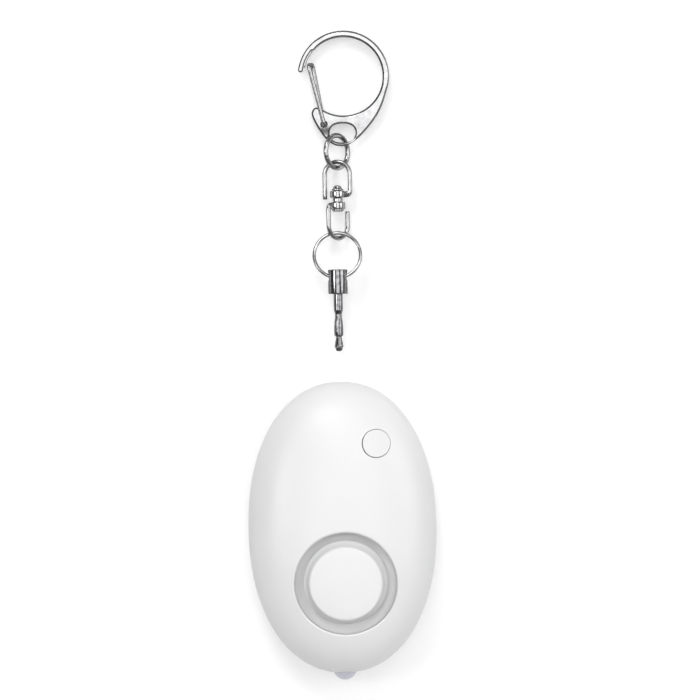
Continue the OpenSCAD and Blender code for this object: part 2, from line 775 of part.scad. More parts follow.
module pin_ring() {
    color("silver") translate([0, ring_seat_y, parting_z]) rotate([-pin_ring_droop, 0, 0])
        translate([0, pin_ring_r, 0]) rotate_extrude() translate([pin_ring_r, 0]) circle(d = pin_ring_wire);
}

// A bow whose plate lies on the origin and whose arch points along Y; its left leg ends free
module bow(hole_r, free_end) {
    mid_r = (bow_w - bow_rod) / 2;
    arch_y = bow_h - bow_w / 2;
    difference() {
        union() {
            translate([0, arch_y, 0]) rotate_extrude(angle = 180) translate([mid_r, 0]) circle(d = bow_rod);
            translate([mid_r, 0, 0]) rotate([-90, 0, 0]) cylinder(d = bow_rod, h = arch_y);
            translate([-mid_r, free_end, 0]) rotate([-90, 0, 0]) cylinder(d = bow_rod, h = arch_y - free_end);
            translate([0, 0, -plate_w / 2]) cube([mid_r, plate_t, plate_w]);
            rotate([-90, 0, 0]) cylinder(r = plate_r, h = plate_t);
        }
        translate([0, -cut, 0]) rotate([-90, 0, 0]) cylinder(r = hole_r, h = plate_t + 2 * cut);
    }
}

module swivel_lower_bow() {
    color("silver") translate([chain_x, lower_plate_y, swivel_z]) rotate([0, lower_turn, 0])
        rotate([0, 0, 180]) bow(rivet_d / 2 + slide_fit / 4, plate_t + bow_gap);
}

module swivel_upper_bow() {
    color("silver") translate([chain_x, upper_plate_y, swivel_z]) rotate([0, upper_turn, 0])
        bow(rivet_d / 2 + slide_fit, -bow_gap);
}

// The rivet is set in the lower plate, and the upper bow turns on it between the neck and the head
module swivel_rivet() {
    r = rivet_d / 2;
    play = slide_fit;
    neck_r = r + 0.35;
    tail_y = -plate_t - rivet_tail_t;
    head_y = rivet_neck + plate_t + play;
    color("silver") translate([chain_x, lower_plate_y, swivel_z]) rotate([-90, 0, 0]) rotate_extrude()
        polygon([[0, tail_y], [0.8 * rivet_head_r, tail_y], [rivet_head_r, tail_y + 0.4 * rivet_tail_t],
            [rivet_head_r, -plate_t], [r, -plate_t], [r, 0], [neck_r, 0], [neck_r, rivet_neck - play],
            [r, rivet_neck - play], [r, head_y], [rivet_head_r, head_y],
            [rivet_head_r, head_y + 0.23 * rivet_head_t], [0.72 * rivet_head_r, head_y + 0.36 * rivet_head_t],
            [0.65 * rivet_head_r, head_y + 0.68 * rivet_head_t],
            [0.4 * rivet_head_r, head_y + 0.9 * rivet_head_t], [0, head_y + rivet_head_t]]);
}

module link_ring() {
    color("silver") translate([chain_x, link_y, link_z]) rotate([0, link_turn, 0])
        rotate_extrude() translate([link_r, 0]) circle(d = link_wire);
}

// The clip's flat foot, from the link bar and the gate's lobe up to the side of the hook
module clip_foot() {
    hull() {
        for (c = foot_corners)
            translate([c[0], c[1], -foot_t / 2]) cylinder(r = c[2], h = foot_t, $fn = 48);
    }
}

// Bevelled section of the hook's bow
module hook_section() {
    w = hook_w / 2;
    t = clip_t / 2;
    b = 0.3;
    polygon([[-w, b - t], [b - w, -t], [w - b, -t], [w, b - t], [w, t - b], [w - b, t], [b - w, t], [-w, t - b]]);
}

module clip_body() {
    color("silver") translate([0, 0, clip_z]) difference() {
        union() {
            translate([hook_x, hook_y, 0]) rotate([0, 0, rim_start])
                rotate_extrude(angle = nose_angle - rim_start) translate([hook_mid_r, 0]) hook_section();
            difference() {
                clip_foot();
                translate([hook_x, hook_y, -clip_t]) cylinder(r = hook_mid_r - 0.1, h = 2 * clip_t, $fn = 128);
            }
        }
        for (side = [-1, 1])
            translate([slot_x + side * (slot_half_w - slot_half_h), slot_y, -clip_t])
                cylinder(r = slot_half_h, h = 2 * clip_t);
        translate([slot_x - slot_half_w + slot_half_h, bar_top, -clip_t])
            cube([2 * (slot_half_w - slot_half_h), 2 * slot_half_h, 2 * clip_t]);
        for (side = [0, 1]) mirror([0, 0, side]) clip_relief();
        translate([pivot_x, pivot_y, -clip_t]) cylinder(d = gate_wire + 2 * slide_fit, h = 2 * clip_t);
    }
}

// What is cut from each face of the clip: the thin link bar, the nose's step and the dished gate hole
module clip_relief() {
    translate([slot_x, bar_top + bar_ease, bar_half_t]) {
        translate([-2 * slot_half_w, -2 * slot_half_h, 0]) cube([4 * slot_half_w, 2 * slot_half_h, clip_t]);
        rotate([bar_slope, 0, 0]) translate([-2 * slot_half_w, 0, 0])
            cube([4 * slot_half_w, slot_half_h, clip_t]);
    }
    translate([hook_x, hook_y, nose_tongue / 2]) rotate([0, 0, nose_step_start])
        rotate_extrude(angle = nose_angle + 5 - nose_step_start) translate([hook_r - 1, 0])
            square([1 + nose_step, clip_t]);
    translate([pivot_x, pivot_y, foot_t / 2 - pivot_dish])
        cylinder(d1 = gate_wire, d2 = gate_wire + 2.6 * pivot_dish, h = pivot_dish + 0.1);
}

// The gate: one wire bent to a hairpin, with its ends in the lobe and its loop inside the nose
module clip_gate() {
    reach = [gate_tip[0] - pivot_x, gate_tip[1] - pivot_y];
    lean = atan2(reach[1], reach[0]) - 90;
    color("silver") translate([pivot_x, pivot_y, clip_z]) rotate([0, 0, lean]) {
        for (y = [0, norm(reach)])
            translate([0, y, -gate_z]) cylinder(d = gate_wire, h = 2 * gate_z);
        for (side = [-1, 1]) {
            translate([0, 0, side * gate_z]) rotate([-90, 0, 0]) cylinder(d = gate_wire, h = norm(reach));
            for (y = [0, norm(reach)])
                translate([0, y, side * gate_z]) sphere(d = gate_wire);
        }
    }
}

front_shell();
rear_shell();
battery_door();
battery_door_screw();
case_screws();
sounder_cap();
piezo_plate();
piezo_ceramic();
piezo_lead_red();
piezo_lead_black();
circuit_board();
controller_chip();
boost_coil();
driver_transistor();
chip_resistors();
chip_capacitors();
switch_body();
switch_plunger();
light_button();
led_lens();
led_leads();
socket_housing();
socket_contact_upper();
socket_contact_lower();
button_cell_1();
button_cell_2();
button_cell_3();
cell_contact_positive();
cell_contact_negative();
cell_link_front();
cell_link_rear();
pull_pin();
pin_collar();
pin_ring();
swivel_lower_bow();
swivel_rivet();
swivel_upper_bow();
link_ring();
clip_body();
clip_gate();
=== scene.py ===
# Looks of the personal safety alarm: a white oval case, and a plated chain with its pull pin and clip.
import math

import bmesh
import bpy
from mathutils import Matrix, Vector


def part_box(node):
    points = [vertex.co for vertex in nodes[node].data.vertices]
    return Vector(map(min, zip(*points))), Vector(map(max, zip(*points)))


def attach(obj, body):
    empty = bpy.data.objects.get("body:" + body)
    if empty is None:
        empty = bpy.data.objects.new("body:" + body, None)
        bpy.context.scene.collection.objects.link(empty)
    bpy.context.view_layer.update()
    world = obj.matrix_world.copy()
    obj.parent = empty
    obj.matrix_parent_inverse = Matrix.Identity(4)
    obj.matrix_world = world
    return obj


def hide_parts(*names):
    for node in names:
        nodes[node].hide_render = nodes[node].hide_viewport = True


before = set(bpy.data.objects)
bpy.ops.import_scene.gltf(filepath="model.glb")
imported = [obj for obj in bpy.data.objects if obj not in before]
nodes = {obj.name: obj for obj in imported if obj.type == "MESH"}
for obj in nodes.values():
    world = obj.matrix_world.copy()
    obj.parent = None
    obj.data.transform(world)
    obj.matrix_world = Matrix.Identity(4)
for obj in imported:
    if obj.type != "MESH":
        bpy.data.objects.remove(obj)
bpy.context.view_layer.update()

# Sizes in millimetres. Most are those of the part's source; the groove's depth, the slit, the button's radius and
# the hook's outer radius differ from it by 0.03 to 0.35.
MM = 0.001
CASE_A, CASE_B, CASE_T, PARTING, WALL = 20.0, 30.9, 17.5, 5.7, 1.6
BACK_ROUND = 5.5
OVAL_POWER, DOME_POWER, BACK_POWER = 2.15, 2.6, 2.5
SOUNDER_AT = (0.5, -11.6)
GROOVE_R, DISC_R, GROOVE_DEPTH, SLIT = 10.75, 7.65, 2.85, 0.05
SLIT_R = DISC_R + 1.25
WALL_FOOT_R = SLIT_R - 0.4
CAP_EDGE_Z = 0.2 - GROOVE_DEPTH
CAP_FOOT_Z = -3.45
BUTTON_AT = (7.5, 17.85)
BUTTON_R = 2.92
LED_R, PIN_R = 2.5, 0.95
SCREW_WELL_R = 2.05
SCREW_PLACES = [(x, y) for x in (-12.6, 12.6) for y in (-9.0, 13.0)]
FIT = 0.15
CHAIN_X = 0.3
PIN_TIP_Y, COLLAR_Y, COLLAR_HOLE_Y, PIN_RING_Y = 37.35, 49.55, 53.25, 53.05
RIVET_Y, RIVET_Z = 69.119, 3.145
LINK_RING_Y, LINK_RING_Z = 79.909, 3.139
BOW_MID, BOW_ARCH, ROD = 2.75, 4.925, 0.475
PLATE_T, PLATE_R, PLATES_APART = 1.5, 1.6, 0.95
CLIP_Z, CLIP_HALF = 2.2, 1.05
HOOK_X, HOOK_Y, HOOK_IN, HOOK_OUT = 2.0, 95.97, 8.37, 9.75
PIVOT = (-2.3, 85.8)

# Steps round the case and round the button
AROUND, BUTTON_AROUND = 256, 96


# Forms of the case

def oval_sum(x, y):
    return (abs(x) / CASE_A) ** OVAL_POWER + (abs(y) / CASE_B) ** OVAL_POWER


def dome_z(x, y, inset=0.0):
    share = oval_sum(x * CASE_A / (CASE_A - inset), y * CASE_B / (CASE_B - inset)) ** (1 / OVAL_POWER)
    rise = max(1 - share ** DOME_POWER, 0.0) ** (1 / DOME_POWER)
    return PARTING + (CASE_T - PARTING - inset) * rise


def dome_normal(x, y, z):
    spread = DOME_POWER * max(oval_sum(x, y), 1e-9) ** (DOME_POWER / OVAL_POWER - 1)
    height = CASE_T - PARTING
    rise = max((z - PARTING) / height, 0.0)
    return Vector((
        spread * abs(x) ** (OVAL_POWER - 1) / CASE_A ** OVAL_POWER * math.copysign(1, x),
        spread * abs(y) ** (OVAL_POWER - 1) / CASE_B ** OVAL_POWER * math.copysign(1, y),
        DOME_POWER * rise ** (DOME_POWER - 1) / height)).normalized()


def turns(count):
    return [2 * math.pi * i / count for i in range(count)]


def oval_ring(a, b, z):
    def power(value):
        return math.copysign(abs(value) ** (2 / OVAL_POWER), value)
    return [Vector((a * power(math.cos(t)), b * power(math.sin(t)), z)) for t in turns(AROUND)]


SOUNDER_Z = dome_z(*SOUNDER_AT)
SOUNDER_TILT = math.atan2(dome_z(SOUNDER_AT[0], SOUNDER_AT[1] + GROOVE_R)
                          - dome_z(SOUNDER_AT[0], SOUNDER_AT[1] - GROOVE_R), 2 * GROOVE_R)
SOUNDER = Matrix.Translation((*SOUNDER_AT, SOUNDER_Z)) @ Matrix.Rotation(SOUNDER_TILT, 4, "X")


def sounder_ring(r, height):
    return [SOUNDER @ Vector((r * math.cos(t), r * math.sin(t), height)) for t in turns(AROUND)]


def flush_ring(centre, r, depth, count=AROUND):
    """A round ring that lies a depth below the dome."""
    places = [(centre[0] + r * math.cos(t), centre[1] + r * math.sin(t)) for t in turns(count)]
    return [Vector((x, y, dome_z(x, y) - depth)) for x, y in places]


def level_ring(centre, r, z):
    """A round ring at one height, in as many steps as the button."""
    return [Vector((centre[0] + r * math.cos(t), centre[1] + r * math.sin(t), z)) for t in turns(BUTTON_AROUND)]


def rim_reach(turn, inset):
    """Distance from the sounder to the oval rim along a direction, with the rim drawn in by an inset."""
    near, far = 0.0, 80.0
    for _ in range(48):
        mid = (near + far) / 2
        x = SOUNDER_AT[0] + mid * math.cos(turn)
        y = SOUNDER_AT[1] + mid * math.sin(turn)
        inside = oval_sum(x * CASE_A / (CASE_A - inset), y * CASE_B / (CASE_B - inset)) < 1
        near, far = (mid, far) if inside else (near, mid)
    return near


def rim_reaches(inset):
    return [rim_reach(t, inset) for t in turns(AROUND)]


def ray_ring(reaches, height):
    """A ring with one point along each direction from the sounder; height is a number or a function of x and y."""
    made = []
    for t, reach in zip(turns(AROUND), reaches):
        x = SOUNDER_AT[0] + reach * math.cos(t)
        y = SOUNDER_AT[1] + reach * math.sin(t)
        made.append(Vector((x, y, height(x, y) if callable(height) else height)))
    return made


def quarter(steps):
    return [math.pi / 2 * i / steps for i in range(steps + 1)]


def eased(share):
    """A share held between 0 and 1, which starts and ends gently."""
    s = min(max(share, 0.0), 1.0)
    return s * s * (3 - 2 * s)


# Modelling helpers

def placed(name, data):
    """A new object of the scene from its mesh, lamp or camera."""
    made = bpy.data.objects.new(name, data)
    bpy.context.scene.collection.objects.link(made)
    return made


def ring_edges(bm, ring):
    return [bm.edges.get(pair) for pair in zip(ring, ring[1:] + ring[:1])]


def first_ring(bm, places):
    """A closed ring of vertices at its places."""
    ring = bmesh.ops.create_circle(bm, cap_ends=False, segments=len(places), radius=1.0)["verts"]
    for v, place in zip(ring, places):
        v.co = place
    return ring


def next_ring(bm, ring, places):
    """Extrudes a closed ring of vertices to new places and returns the new ring in the same order."""
    made = bmesh.ops.extrude_edge_only(bm, edges=ring_edges(bm, ring))["geom"]
    fresh = {v for v in made if isinstance(v, bmesh.types.BMVert)}
    ring = [next(e.other_vert(v) for e in v.link_edges if e.other_vert(v) in fresh) for v in ring]
    for v, place in zip(ring, places):
        v.co = place
    return ring


def loft(bm, rings, first_pole=False, last_pole=False, closed=False):
    """A skin over rings of equal count, pulled to a point at either end or closed on itself."""
    ring = first = first_ring(bm, rings[0])
    for places in rings[1:]:
        ring = next_ring(bm, ring, places)
    for wanted, end in ((first_pole, first), (last_pole, ring)):
        if wanted:
            bmesh.ops.contextual_create(bm, geom=ring_edges(bm, end))
            bmesh.ops.poke(bm, faces=[f for f in bm.faces if set(end) == set(f.verts)])
    if closed:
        bmesh.ops.bridge_loops(bm, edges=ring_edges(bm, first) + ring_edges(bm, ring))
    bmesh.ops.recalc_face_normals(bm, faces=bm.faces)
    return bm


def rounded(points, radius, steps=5):
    """A profile with its inner corners rounded, each by no more than its sides allow."""
    nearly_straight, most_of_side = math.radians(172), 0.48
    points = [Vector(p) for p in points]
    made = [points[0]]
    for before, corner, after in zip(points, points[1:], points[2:]):
        back, ahead = before - corner, after - corner
        angle = back.angle(ahead, math.pi)
        if angle > nearly_straight:
            made.append(corner)
            continue
        reach = min(radius / math.tan(angle / 2), back.length * most_of_side, ahead.length * most_of_side)
        start, end = corner + back.normalized() * reach, corner + ahead.normalized() * reach
        for i in range(steps + 1):
            s = i / steps
            made.append(start * (1 - s) ** 2 + corner * (2 * s * (1 - s)) + end * s ** 2)
    return made + [points[-1]]


def spun(bm, profile, place, steps=96):
    """Turns a profile of radius and height about the Z axis, then moves it to its place."""
    line = [bm.verts.new((max(r, 0.0), 0, z)) for r, z in profile]
    edges = [bm.edges.new(pair) for pair in zip(line, line[1:])]
    before = set(bm.verts) - set(line)
    bmesh.ops.spin(bm, geom=line + edges, cent=(0, 0, 0), axis=(0, 0, 1), angle=2 * math.pi, steps=steps,
                   use_merge=True)
    made = [v for v in bm.verts if v not in before]
    bmesh.ops.remove_doubles(bm, verts=made, dist=1e-5)
    made = [v for v in bm.verts if v not in before]
    bmesh.ops.transform(bm, matrix=place, verts=made)
    bmesh.ops.recalc_face_normals(bm, faces=bm.faces)
    return bm


def tube(bm, path, section, count=20, closed=False, up=Vector((0, 0, 1))):
    """A skin along a path; section gives each station's half width, half height and fullness."""
    last = len(path) - 1
    rings = []
    side = None
    for i, place in enumerate(path):
        if closed:
            ahead = path[(i + 1) % len(path)] - path[i - 1]
        else:
            ahead = path[min(i + 1, last)] - path[max(i - 1, 0)]
        ahead.normalize()
        side = (ahead.cross(up) if side is None else side - ahead * side.dot(ahead)).normalized()
        rise = side.cross(ahead)
        half_w, half_h, power = section(i / last)
        ring = []
        for t in turns(count):
            c, s = math.cos(t), math.sin(t)
            c = math.copysign(abs(c) ** (2 / power), c)
            s = math.copysign(abs(s) ** (2 / power), s)
            ring.append(place + side * (c * half_w) + rise * (s * half_h))
        rings.append(ring)
    return loft(bm, rings, first_pole=not closed, last_pole=not closed, closed=closed)


def carve(bm, cutters):
    """Cuts closed shapes out of a closed shape."""
    def as_object(shape):
        mesh = bpy.data.meshes.new("carving")
        shape.to_mesh(mesh)
        shape.free()
        return placed("carving", mesh)
    body = as_object(bm)
    tools = [as_object(c) for c in cutters]
    for tool in tools:
        step = body.modifiers.new("cut", "BOOLEAN")
        step.operation, step.solver, step.object = "DIFFERENCE", "EXACT", tool
    ready = body.evaluated_get(bpy.context.evaluated_depsgraph_get())
    done = bmesh.new()
    done.from_mesh(ready.to_mesh())
    ready.to_mesh_clear()
    for spent in [body] + tools:
        mesh = spent.data
        bpy.data.objects.remove(spent)
        bpy.data.meshes.remove(mesh)
    bmesh.ops.remove_doubles(done, verts=done.verts, dist=1e-5)
    bmesh.ops.recalc_face_normals(done, faces=done.faces)
    return done


def shown(bm, name, material, body, replaced=(), sharp=40, surface_normal=None):
    """Makes a finished piece in metres, riding on its body and standing for its nodes.

    Edges sharper than an angle in degrees stay sharp; surface_normal gives the exact normal at a place, or None.
    """
    close_to_face = 0.9
    bmesh.ops.scale(bm, vec=(MM, MM, MM), verts=bm.verts)
    mesh = bpy.data.meshes.new(name)
    bm.to_mesh(mesh)
    bm.free()
    mesh.materials.append(material)
    mesh.shade_smooth()
    mesh.set_sharp_from_angle(angle=math.radians(sharp))
    if surface_normal:
        wanted = []
        for face in mesh.polygons:
            for corner in face.loop_indices:
                normal = surface_normal(mesh.vertices[mesh.loops[corner].vertex_index].co / MM)
                follows = normal is not None and normal.dot(face.normal) > close_to_face
                wanted.append(normal if follows else mesh.corner_normals[corner].vector.copy())
        mesh.normals_split_custom_set(wanted)
    piece = placed(name, mesh)
    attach(piece, body)
    if replaced:
        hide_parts(*replaced)
    return piece


# Finishes

def link(tree, output, socket):
    tree.links.new(output, socket)


def surface_group():
    """Slow mottling, fine grain and directional scuffs, shared by every finish."""
    group = bpy.data.node_groups.new("surface_life", "ShaderNodeTree")
    for title, value in (("Mottle Scale", 300.0), ("Grain Scale", 4000.0), ("Scuff Scale", 900.0)):
        group.interface.new_socket(title, in_out="INPUT", socket_type="NodeSocketFloat").default_value = value
    for title in ("Mottle", "Grain", "Scuff"):
        group.interface.new_socket(title, in_out="OUTPUT", socket_type="NodeSocketFloat")
    start, end = group.nodes.new("NodeGroupInput"), group.nodes.new("NodeGroupOutput")
    where = group.nodes.new("ShaderNodeTexCoord")
    stretch = group.nodes.new("ShaderNodeMapping")
    stretch.inputs["Rotation"].default_value = (0.3, 0.5, 0.7)
    stretch.inputs["Scale"].default_value = (1.0, 0.06, 0.35)
    link(group, where.outputs["Object"], stretch.inputs["Vector"])
    for title, detail, source in (("Mottle", 2.0, where.outputs["Object"]), ("Grain", 5.0, where.outputs["Object"]),
                                  ("Scuff", 3.0, stretch.outputs["Vector"])):
        noise = group.nodes.new("ShaderNodeTexNoise")
        noise.inputs["Detail"].default_value = detail
        link(group, source, noise.inputs["Vector"])
        link(group, start.outputs[title + " Scale"], noise.inputs["Scale"])
        link(group, noise.outputs["Fac"], end.inputs[title])
    return group


SURFACE = surface_group()


def ramp(tree, source, low, high, start=0.35, end=0.65):
    """Spreads a noise between two colours or values."""
    node = tree.nodes.new("ShaderNodeValToRGB")
    node.color_ramp.elements[0].position, node.color_ramp.elements[1].position = start, end
    for stop, value in zip(node.color_ramp.elements, (low, high)):
        stop.color = (*value, 1.0) if isinstance(value, tuple) else (value, value, value, 1.0)
    link(tree, source, node.inputs["Fac"])
    return node.outputs["Color"]


def finish(name, low, high, rough, mottle=250.0, grain=5000.0, scuff=900.0, bump=0.08, depth=2e-5, **fixed):
    """A finish whose colour drifts between two tones, with scuffed gloss and a fine grain."""
    material = bpy.data.materials.new(name)
    material.use_nodes = True
    tree = material.node_tree
    shader = tree.nodes["Principled BSDF"]
    life = tree.nodes.new("ShaderNodeGroup")
    life.node_tree = SURFACE
    for title, value in (("Mottle Scale", mottle), ("Grain Scale", grain), ("Scuff Scale", scuff)):
        life.inputs[title].default_value = value
    link(tree, ramp(tree, life.outputs["Mottle"], low, high), shader.inputs["Base Color"])
    link(tree, ramp(tree, life.outputs["Scuff"], rough[0], rough[1]), shader.inputs["Roughness"])
    relief = tree.nodes.new("ShaderNodeBump")
    relief.inputs["Strength"].default_value = bump
    relief.inputs["Distance"].default_value = depth
    link(tree, life.outputs["Grain"], relief.inputs["Height"])
    link(tree, relief.outputs["Normal"], shader.inputs["Normal"])
    for socket, value in fixed.items():
        shader.inputs[socket.replace("_", " ")].default_value = value
    return material


def bands(material, scale, turn, low, high, start, end):
    """Gives a finish a repeating stripe of two colours, such as windings or conductors, in place of its drift."""
    tree = material.node_tree
    shader = tree.nodes["Principled BSDF"]
    where = tree.nodes.new("ShaderNodeTexCoord")
    place = tree.nodes.new("ShaderNodeMapping")
    place.inputs["Rotation"].default_value = turn
    wave = tree.nodes.new("ShaderNodeTexWave")
    wave.wave_type = "BANDS"
    wave.inputs["Scale"].default_value = scale
    wave.inputs["Distortion"].default_value = 1.5
    link(tree, where.outputs["Object"], place.inputs["Vector"])
    link(tree, place.outputs["Vector"], wave.inputs["Vector"])
    link(tree, ramp(tree, wave.outputs["Fac"], low, high, start, end), shader.inputs["Base Color"])


# Bright plating turns darker towards its outline
EDGE_TINT = (0.3, 0.3, 0.3, 1.0)

# The front shell's white is the case's; it and the sounder's white get painted shade that greys the groove, added
# further down
white, front_white_painted_shade = [finish(name, 0.80, 0.82, (0.36, 0.39), mottle=60.0, grain=3500.0, bump=0.03)
                      for name in ("case_white", "front_white_painted_shade")]
disc_white_painted_shade = finish("sounder_white", 0.83, 0.85, (0.37, 0.41), mottle=80.0, grain=3800.0, bump=0.04)
button_white = finish("button_white", 0.79, 0.81, (0.36, 0.40), mottle=150.0, grain=3800.0, bump=0.04)
chrome = finish("chain_chrome", (0.33, 0.33, 0.335), (0.40, 0.40, 0.405), (0.12, 0.18), mottle=700.0,
                grain=2600.0, scuff=2200.0, bump=0.12, depth=4e-5, Metallic=1.0, Specular_Tint=EDGE_TINT)
pin_chrome = finish("pin_chrome", (0.15, 0.15, 0.155), (0.26, 0.26, 0.265), (0.07, 0.13), mottle=1500.0,
                    grain=2200.0, scuff=3000.0, bump=0.12, depth=5e-5, Metallic=1.0, Specular_Tint=EDGE_TINT)
gate_steel = finish("gate_steel", (0.30, 0.30, 0.305), (0.38, 0.38, 0.385), (0.14, 0.22), mottle=900.0,
                    grain=3000.0, scuff=2500.0, bump=0.12, depth=3e-5, Metallic=1.0, Specular_Tint=EDGE_TINT)
screw_steel = finish("screw_steel", (0.42, 0.42, 0.43), (0.55, 0.55, 0.56), (0.25, 0.42), mottle=800.0,
                     scuff=2500.0, bump=0.1, Metallic=1.0)
led_clear = finish("led_clear", (0.86, 0.87, 0.97), (0.91, 0.92, 0.98), (0.08, 0.14), mottle=500.0, bump=0.02,
                   Transmission_Weight=0.3, IOR=1.5)
lead_tin = finish("lead_tin", (0.55, 0.55, 0.54), (0.68, 0.68, 0.66), (0.25, 0.4), mottle=1200.0, Metallic=1.0)
board_green = finish("board_green", (0.015, 0.10, 0.035), (0.03, 0.17, 0.06), (0.3, 0.42), mottle=300.0)
chip_black = finish("chip_black", (0.012, 0.012, 0.013), (0.028, 0.028, 0.03), (0.45, 0.6), mottle=900.0,
                    bump=0.2)
switch_grey = finish("switch_grey", (0.10, 0.10, 0.105), (0.15, 0.15, 0.155), (0.4, 0.5), mottle=700.0, bump=0.15)
chip_tan = finish("chip_tan", (0.42, 0.30, 0.18), (0.54, 0.40, 0.25), (0.35, 0.5), mottle=1100.0)
coil_copper = finish("coil_copper", (0.42, 0.17, 0.07), (0.60, 0.27, 0.12), (0.25, 0.4), Metallic=1.0)
piezo_brass = finish("piezo_brass", (0.55, 0.40, 0.15), (0.68, 0.52, 0.23), (0.25, 0.4), mottle=400.0,
                     Metallic=1.0)
piezo_silver = finish("piezo_silver", (0.62, 0.61, 0.58), (0.72, 0.71, 0.68), (0.35, 0.5), mottle=600.0, bump=0.2,
                      Metallic=1.0)
lead_red = finish("lead_red", (0.42, 0.02, 0.02), (0.55, 0.04, 0.03), (0.35, 0.5), mottle=900.0)
lead_black = finish("lead_black", 0.012, 0.03, (0.35, 0.5), mottle=900.0)
socket_black = finish("socket_black", (0.014, 0.014, 0.015), (0.03, 0.03, 0.032), (0.4, 0.55), mottle=500.0,
                      bump=0.15)
contact_brass = finish("contact_brass", (0.58, 0.44, 0.18), (0.72, 0.57, 0.28), (0.2, 0.35), mottle=600.0,
                       Metallic=1.0)
cell_steel = finish("cell_steel", (0.58, 0.58, 0.57), (0.70, 0.70, 0.69), (0.2, 0.36), mottle=350.0,
                    Metallic=1.0)
bands(coil_copper, 900.0, (0, math.radians(90), 0), (0.30, 0.11, 0.04), (0.62, 0.29, 0.13), 0.2, 0.7)
bands(board_green, 160.0, (0, 0, math.radians(45)), (0.015, 0.09, 0.03), (0.05, 0.24, 0.09), 0.86, 0.94)


def paint_groove_shade(material, white_at, shade_at, shade_tone):
    """Paints shade into a white finish in the sound groove: greys it, blending between two distances from the
    sounder's middle.
    """
    tree = material.node_tree
    shader = tree.nodes["Principled BSDF"]
    base = shader.inputs["Base Color"].links[0].from_socket
    where = tree.nodes.new("ShaderNodeTexCoord")
    flat = tree.nodes.new("ShaderNodeMapping")
    flat.inputs["Location"].default_value = (-SOUNDER_AT[0] * MM, -SOUNDER_AT[1] * MM, 0)
    flat.inputs["Scale"].default_value = (1, 1, 0)
    reach = tree.nodes.new("ShaderNodeVectorMath")
    reach.operation = "LENGTH"
    shade_mask = tree.nodes.new("ShaderNodeMapRange")
    shade_mask.inputs["From Min"].default_value, shade_mask.inputs["From Max"].default_value = white_at * MM, shade_at * MM
    mix = tree.nodes.new("ShaderNodeMix")
    mix.data_type = "RGBA"
    mix.inputs["B"].default_value = (shade_tone, shade_tone, shade_tone, 1)
    link(tree, where.outputs["Object"], flat.inputs["Vector"])
    link(tree, flat.outputs["Vector"], reach.inputs[0])
    link(tree, reach.outputs["Value"], shade_mask.inputs["Value"])
    link(tree, shade_mask.outputs["Result"], mix.inputs["Factor"])
    link(tree, base, mix.inputs["A"])
    link(tree, mix.outputs["Result"], shader.inputs["Base Color"])


# Painted shade: the groove's walls and the outer part of the cap's slope are greyed, evenly all round, to darken
# the recess
paint_groove_shade(front_white_painted_shade, white_at=GROOVE_R + 0.1, shade_at=GROOVE_R - 0.2, shade_tone=0.61)
paint_groove_shade(disc_white_painted_shade, white_at=DISC_R + 0.05, shade_at=DISC_R + 0.3, shade_tone=0.69)


# Case

# The parting line, as insets from the rim and distances from its plane: both edges are rounded alike, and a lip of
# the rear shell stands in a rebate of the front shell
SEAM_GAP = 0.03
SEAM_EDGE = ((0.0, 0.3), (0.02, 0.13), (0.08, 0.06), (0.2, SEAM_GAP))
REBATE_INSET, REBATE_TOP = 0.8, 0.95
LIP_INSET, LIP_TOP = 0.95, 0.8


def front_shell():
    lip, cup_foot_z, cup_wall = 0.5, -4.4, 1.5
    dome_steps, inner_steps = 84, 14
    groove_round = GROOVE_R - SLIT_R
    rings = [sounder_ring(WALL_FOOT_R, cup_foot_z), sounder_ring(WALL_FOOT_R, -GROOVE_DEPTH - 0.3),
             sounder_ring(WALL_FOOT_R + 0.05, -GROOVE_DEPTH - 0.22)]
    for a in reversed(quarter(10)):
        rings.append(sounder_ring(GROOVE_R - groove_round * (1 - math.cos(a)),
                                  groove_round * (1 - math.sin(a)) - GROOVE_DEPTH))
    for b in quarter(6):
        rings.append(flush_ring(SOUNDER_AT, GROOVE_R + lip * (1 - math.cos(b)), lip * (1 - math.sin(b))))
    rim = rim_reaches(0.0)
    near = GROOVE_R + lip
    for i in range(1, dome_steps):
        share = 1 - (1 - i / dome_steps) ** 2
        rings.append(ray_ring([near + (reach - near) * share for reach in rim], dome_z))
    for inset, height in (*SEAM_EDGE, (REBATE_INSET, SEAM_GAP), (REBATE_INSET, REBATE_TOP), (WALL, REBATE_TOP)):
        rings.append(ray_ring(rim_reaches(inset), PARTING + height))
    inner = rim_reaches(WALL)
    near = GROOVE_R + cup_wall
    for i in range(1, inner_steps + 1):
        share = 1 - (i / inner_steps) ** 2
        rings.append(ray_ring([near + (reach - near) * share for reach in inner],
                              lambda x, y: max(dome_z(x, y, WALL), PARTING + REBATE_TOP)))
    rings.append(sounder_ring(near, cup_foot_z))
    shell = carve(loft(bmesh.new(), rings, closed=True), [button_hole(), led_hole(), pin_hole()])

    def outside(place):
        beyond_lip = math.dist(place[:2], SOUNDER_AT) > GROOVE_R + lip - 0.01
        above_seam = place.z > PARTING + SEAM_EDGE[0][1]
        on_dome = abs(place.z - dome_z(place.x, place.y)) < 2e-3
        return dome_normal(*place) if beyond_lip and above_seam and on_dome else None
    return shown(shell, "front_shell_skin", front_white_painted_shade, "root", ["front_shell"], 35, outside)


def lengthwise(y):
    """Puts a spun shape's axis along the case, its foot at a lengthwise place and its top towards the chain."""
    return Matrix.Translation((0, y, PARTING)) @ Matrix.Rotation(math.radians(-90), 4, "X")


def button_hole():
    """Cuts the button's hole, a little off the button's middle, with a rounded edge."""
    centre, r, widest = (BUTTON_AT[0] - 0.05, BUTTON_AT[1] - 0.035), BUTTON_R + 0.1, 0.1
    rings = [level_ring(centre, r, PARTING + 2)]
    rings += [flush_ring(centre, r + out, depth, BUTTON_AROUND)
              for out, depth in ((0.0, 0.2), (0.015, 0.1), (0.05, 0.03), (widest, -0.03))]
    rings.append(level_ring(centre, r + widest, CASE_T + 2))
    return loft(bmesh.new(), rings, first_pole=True, last_pole=True)


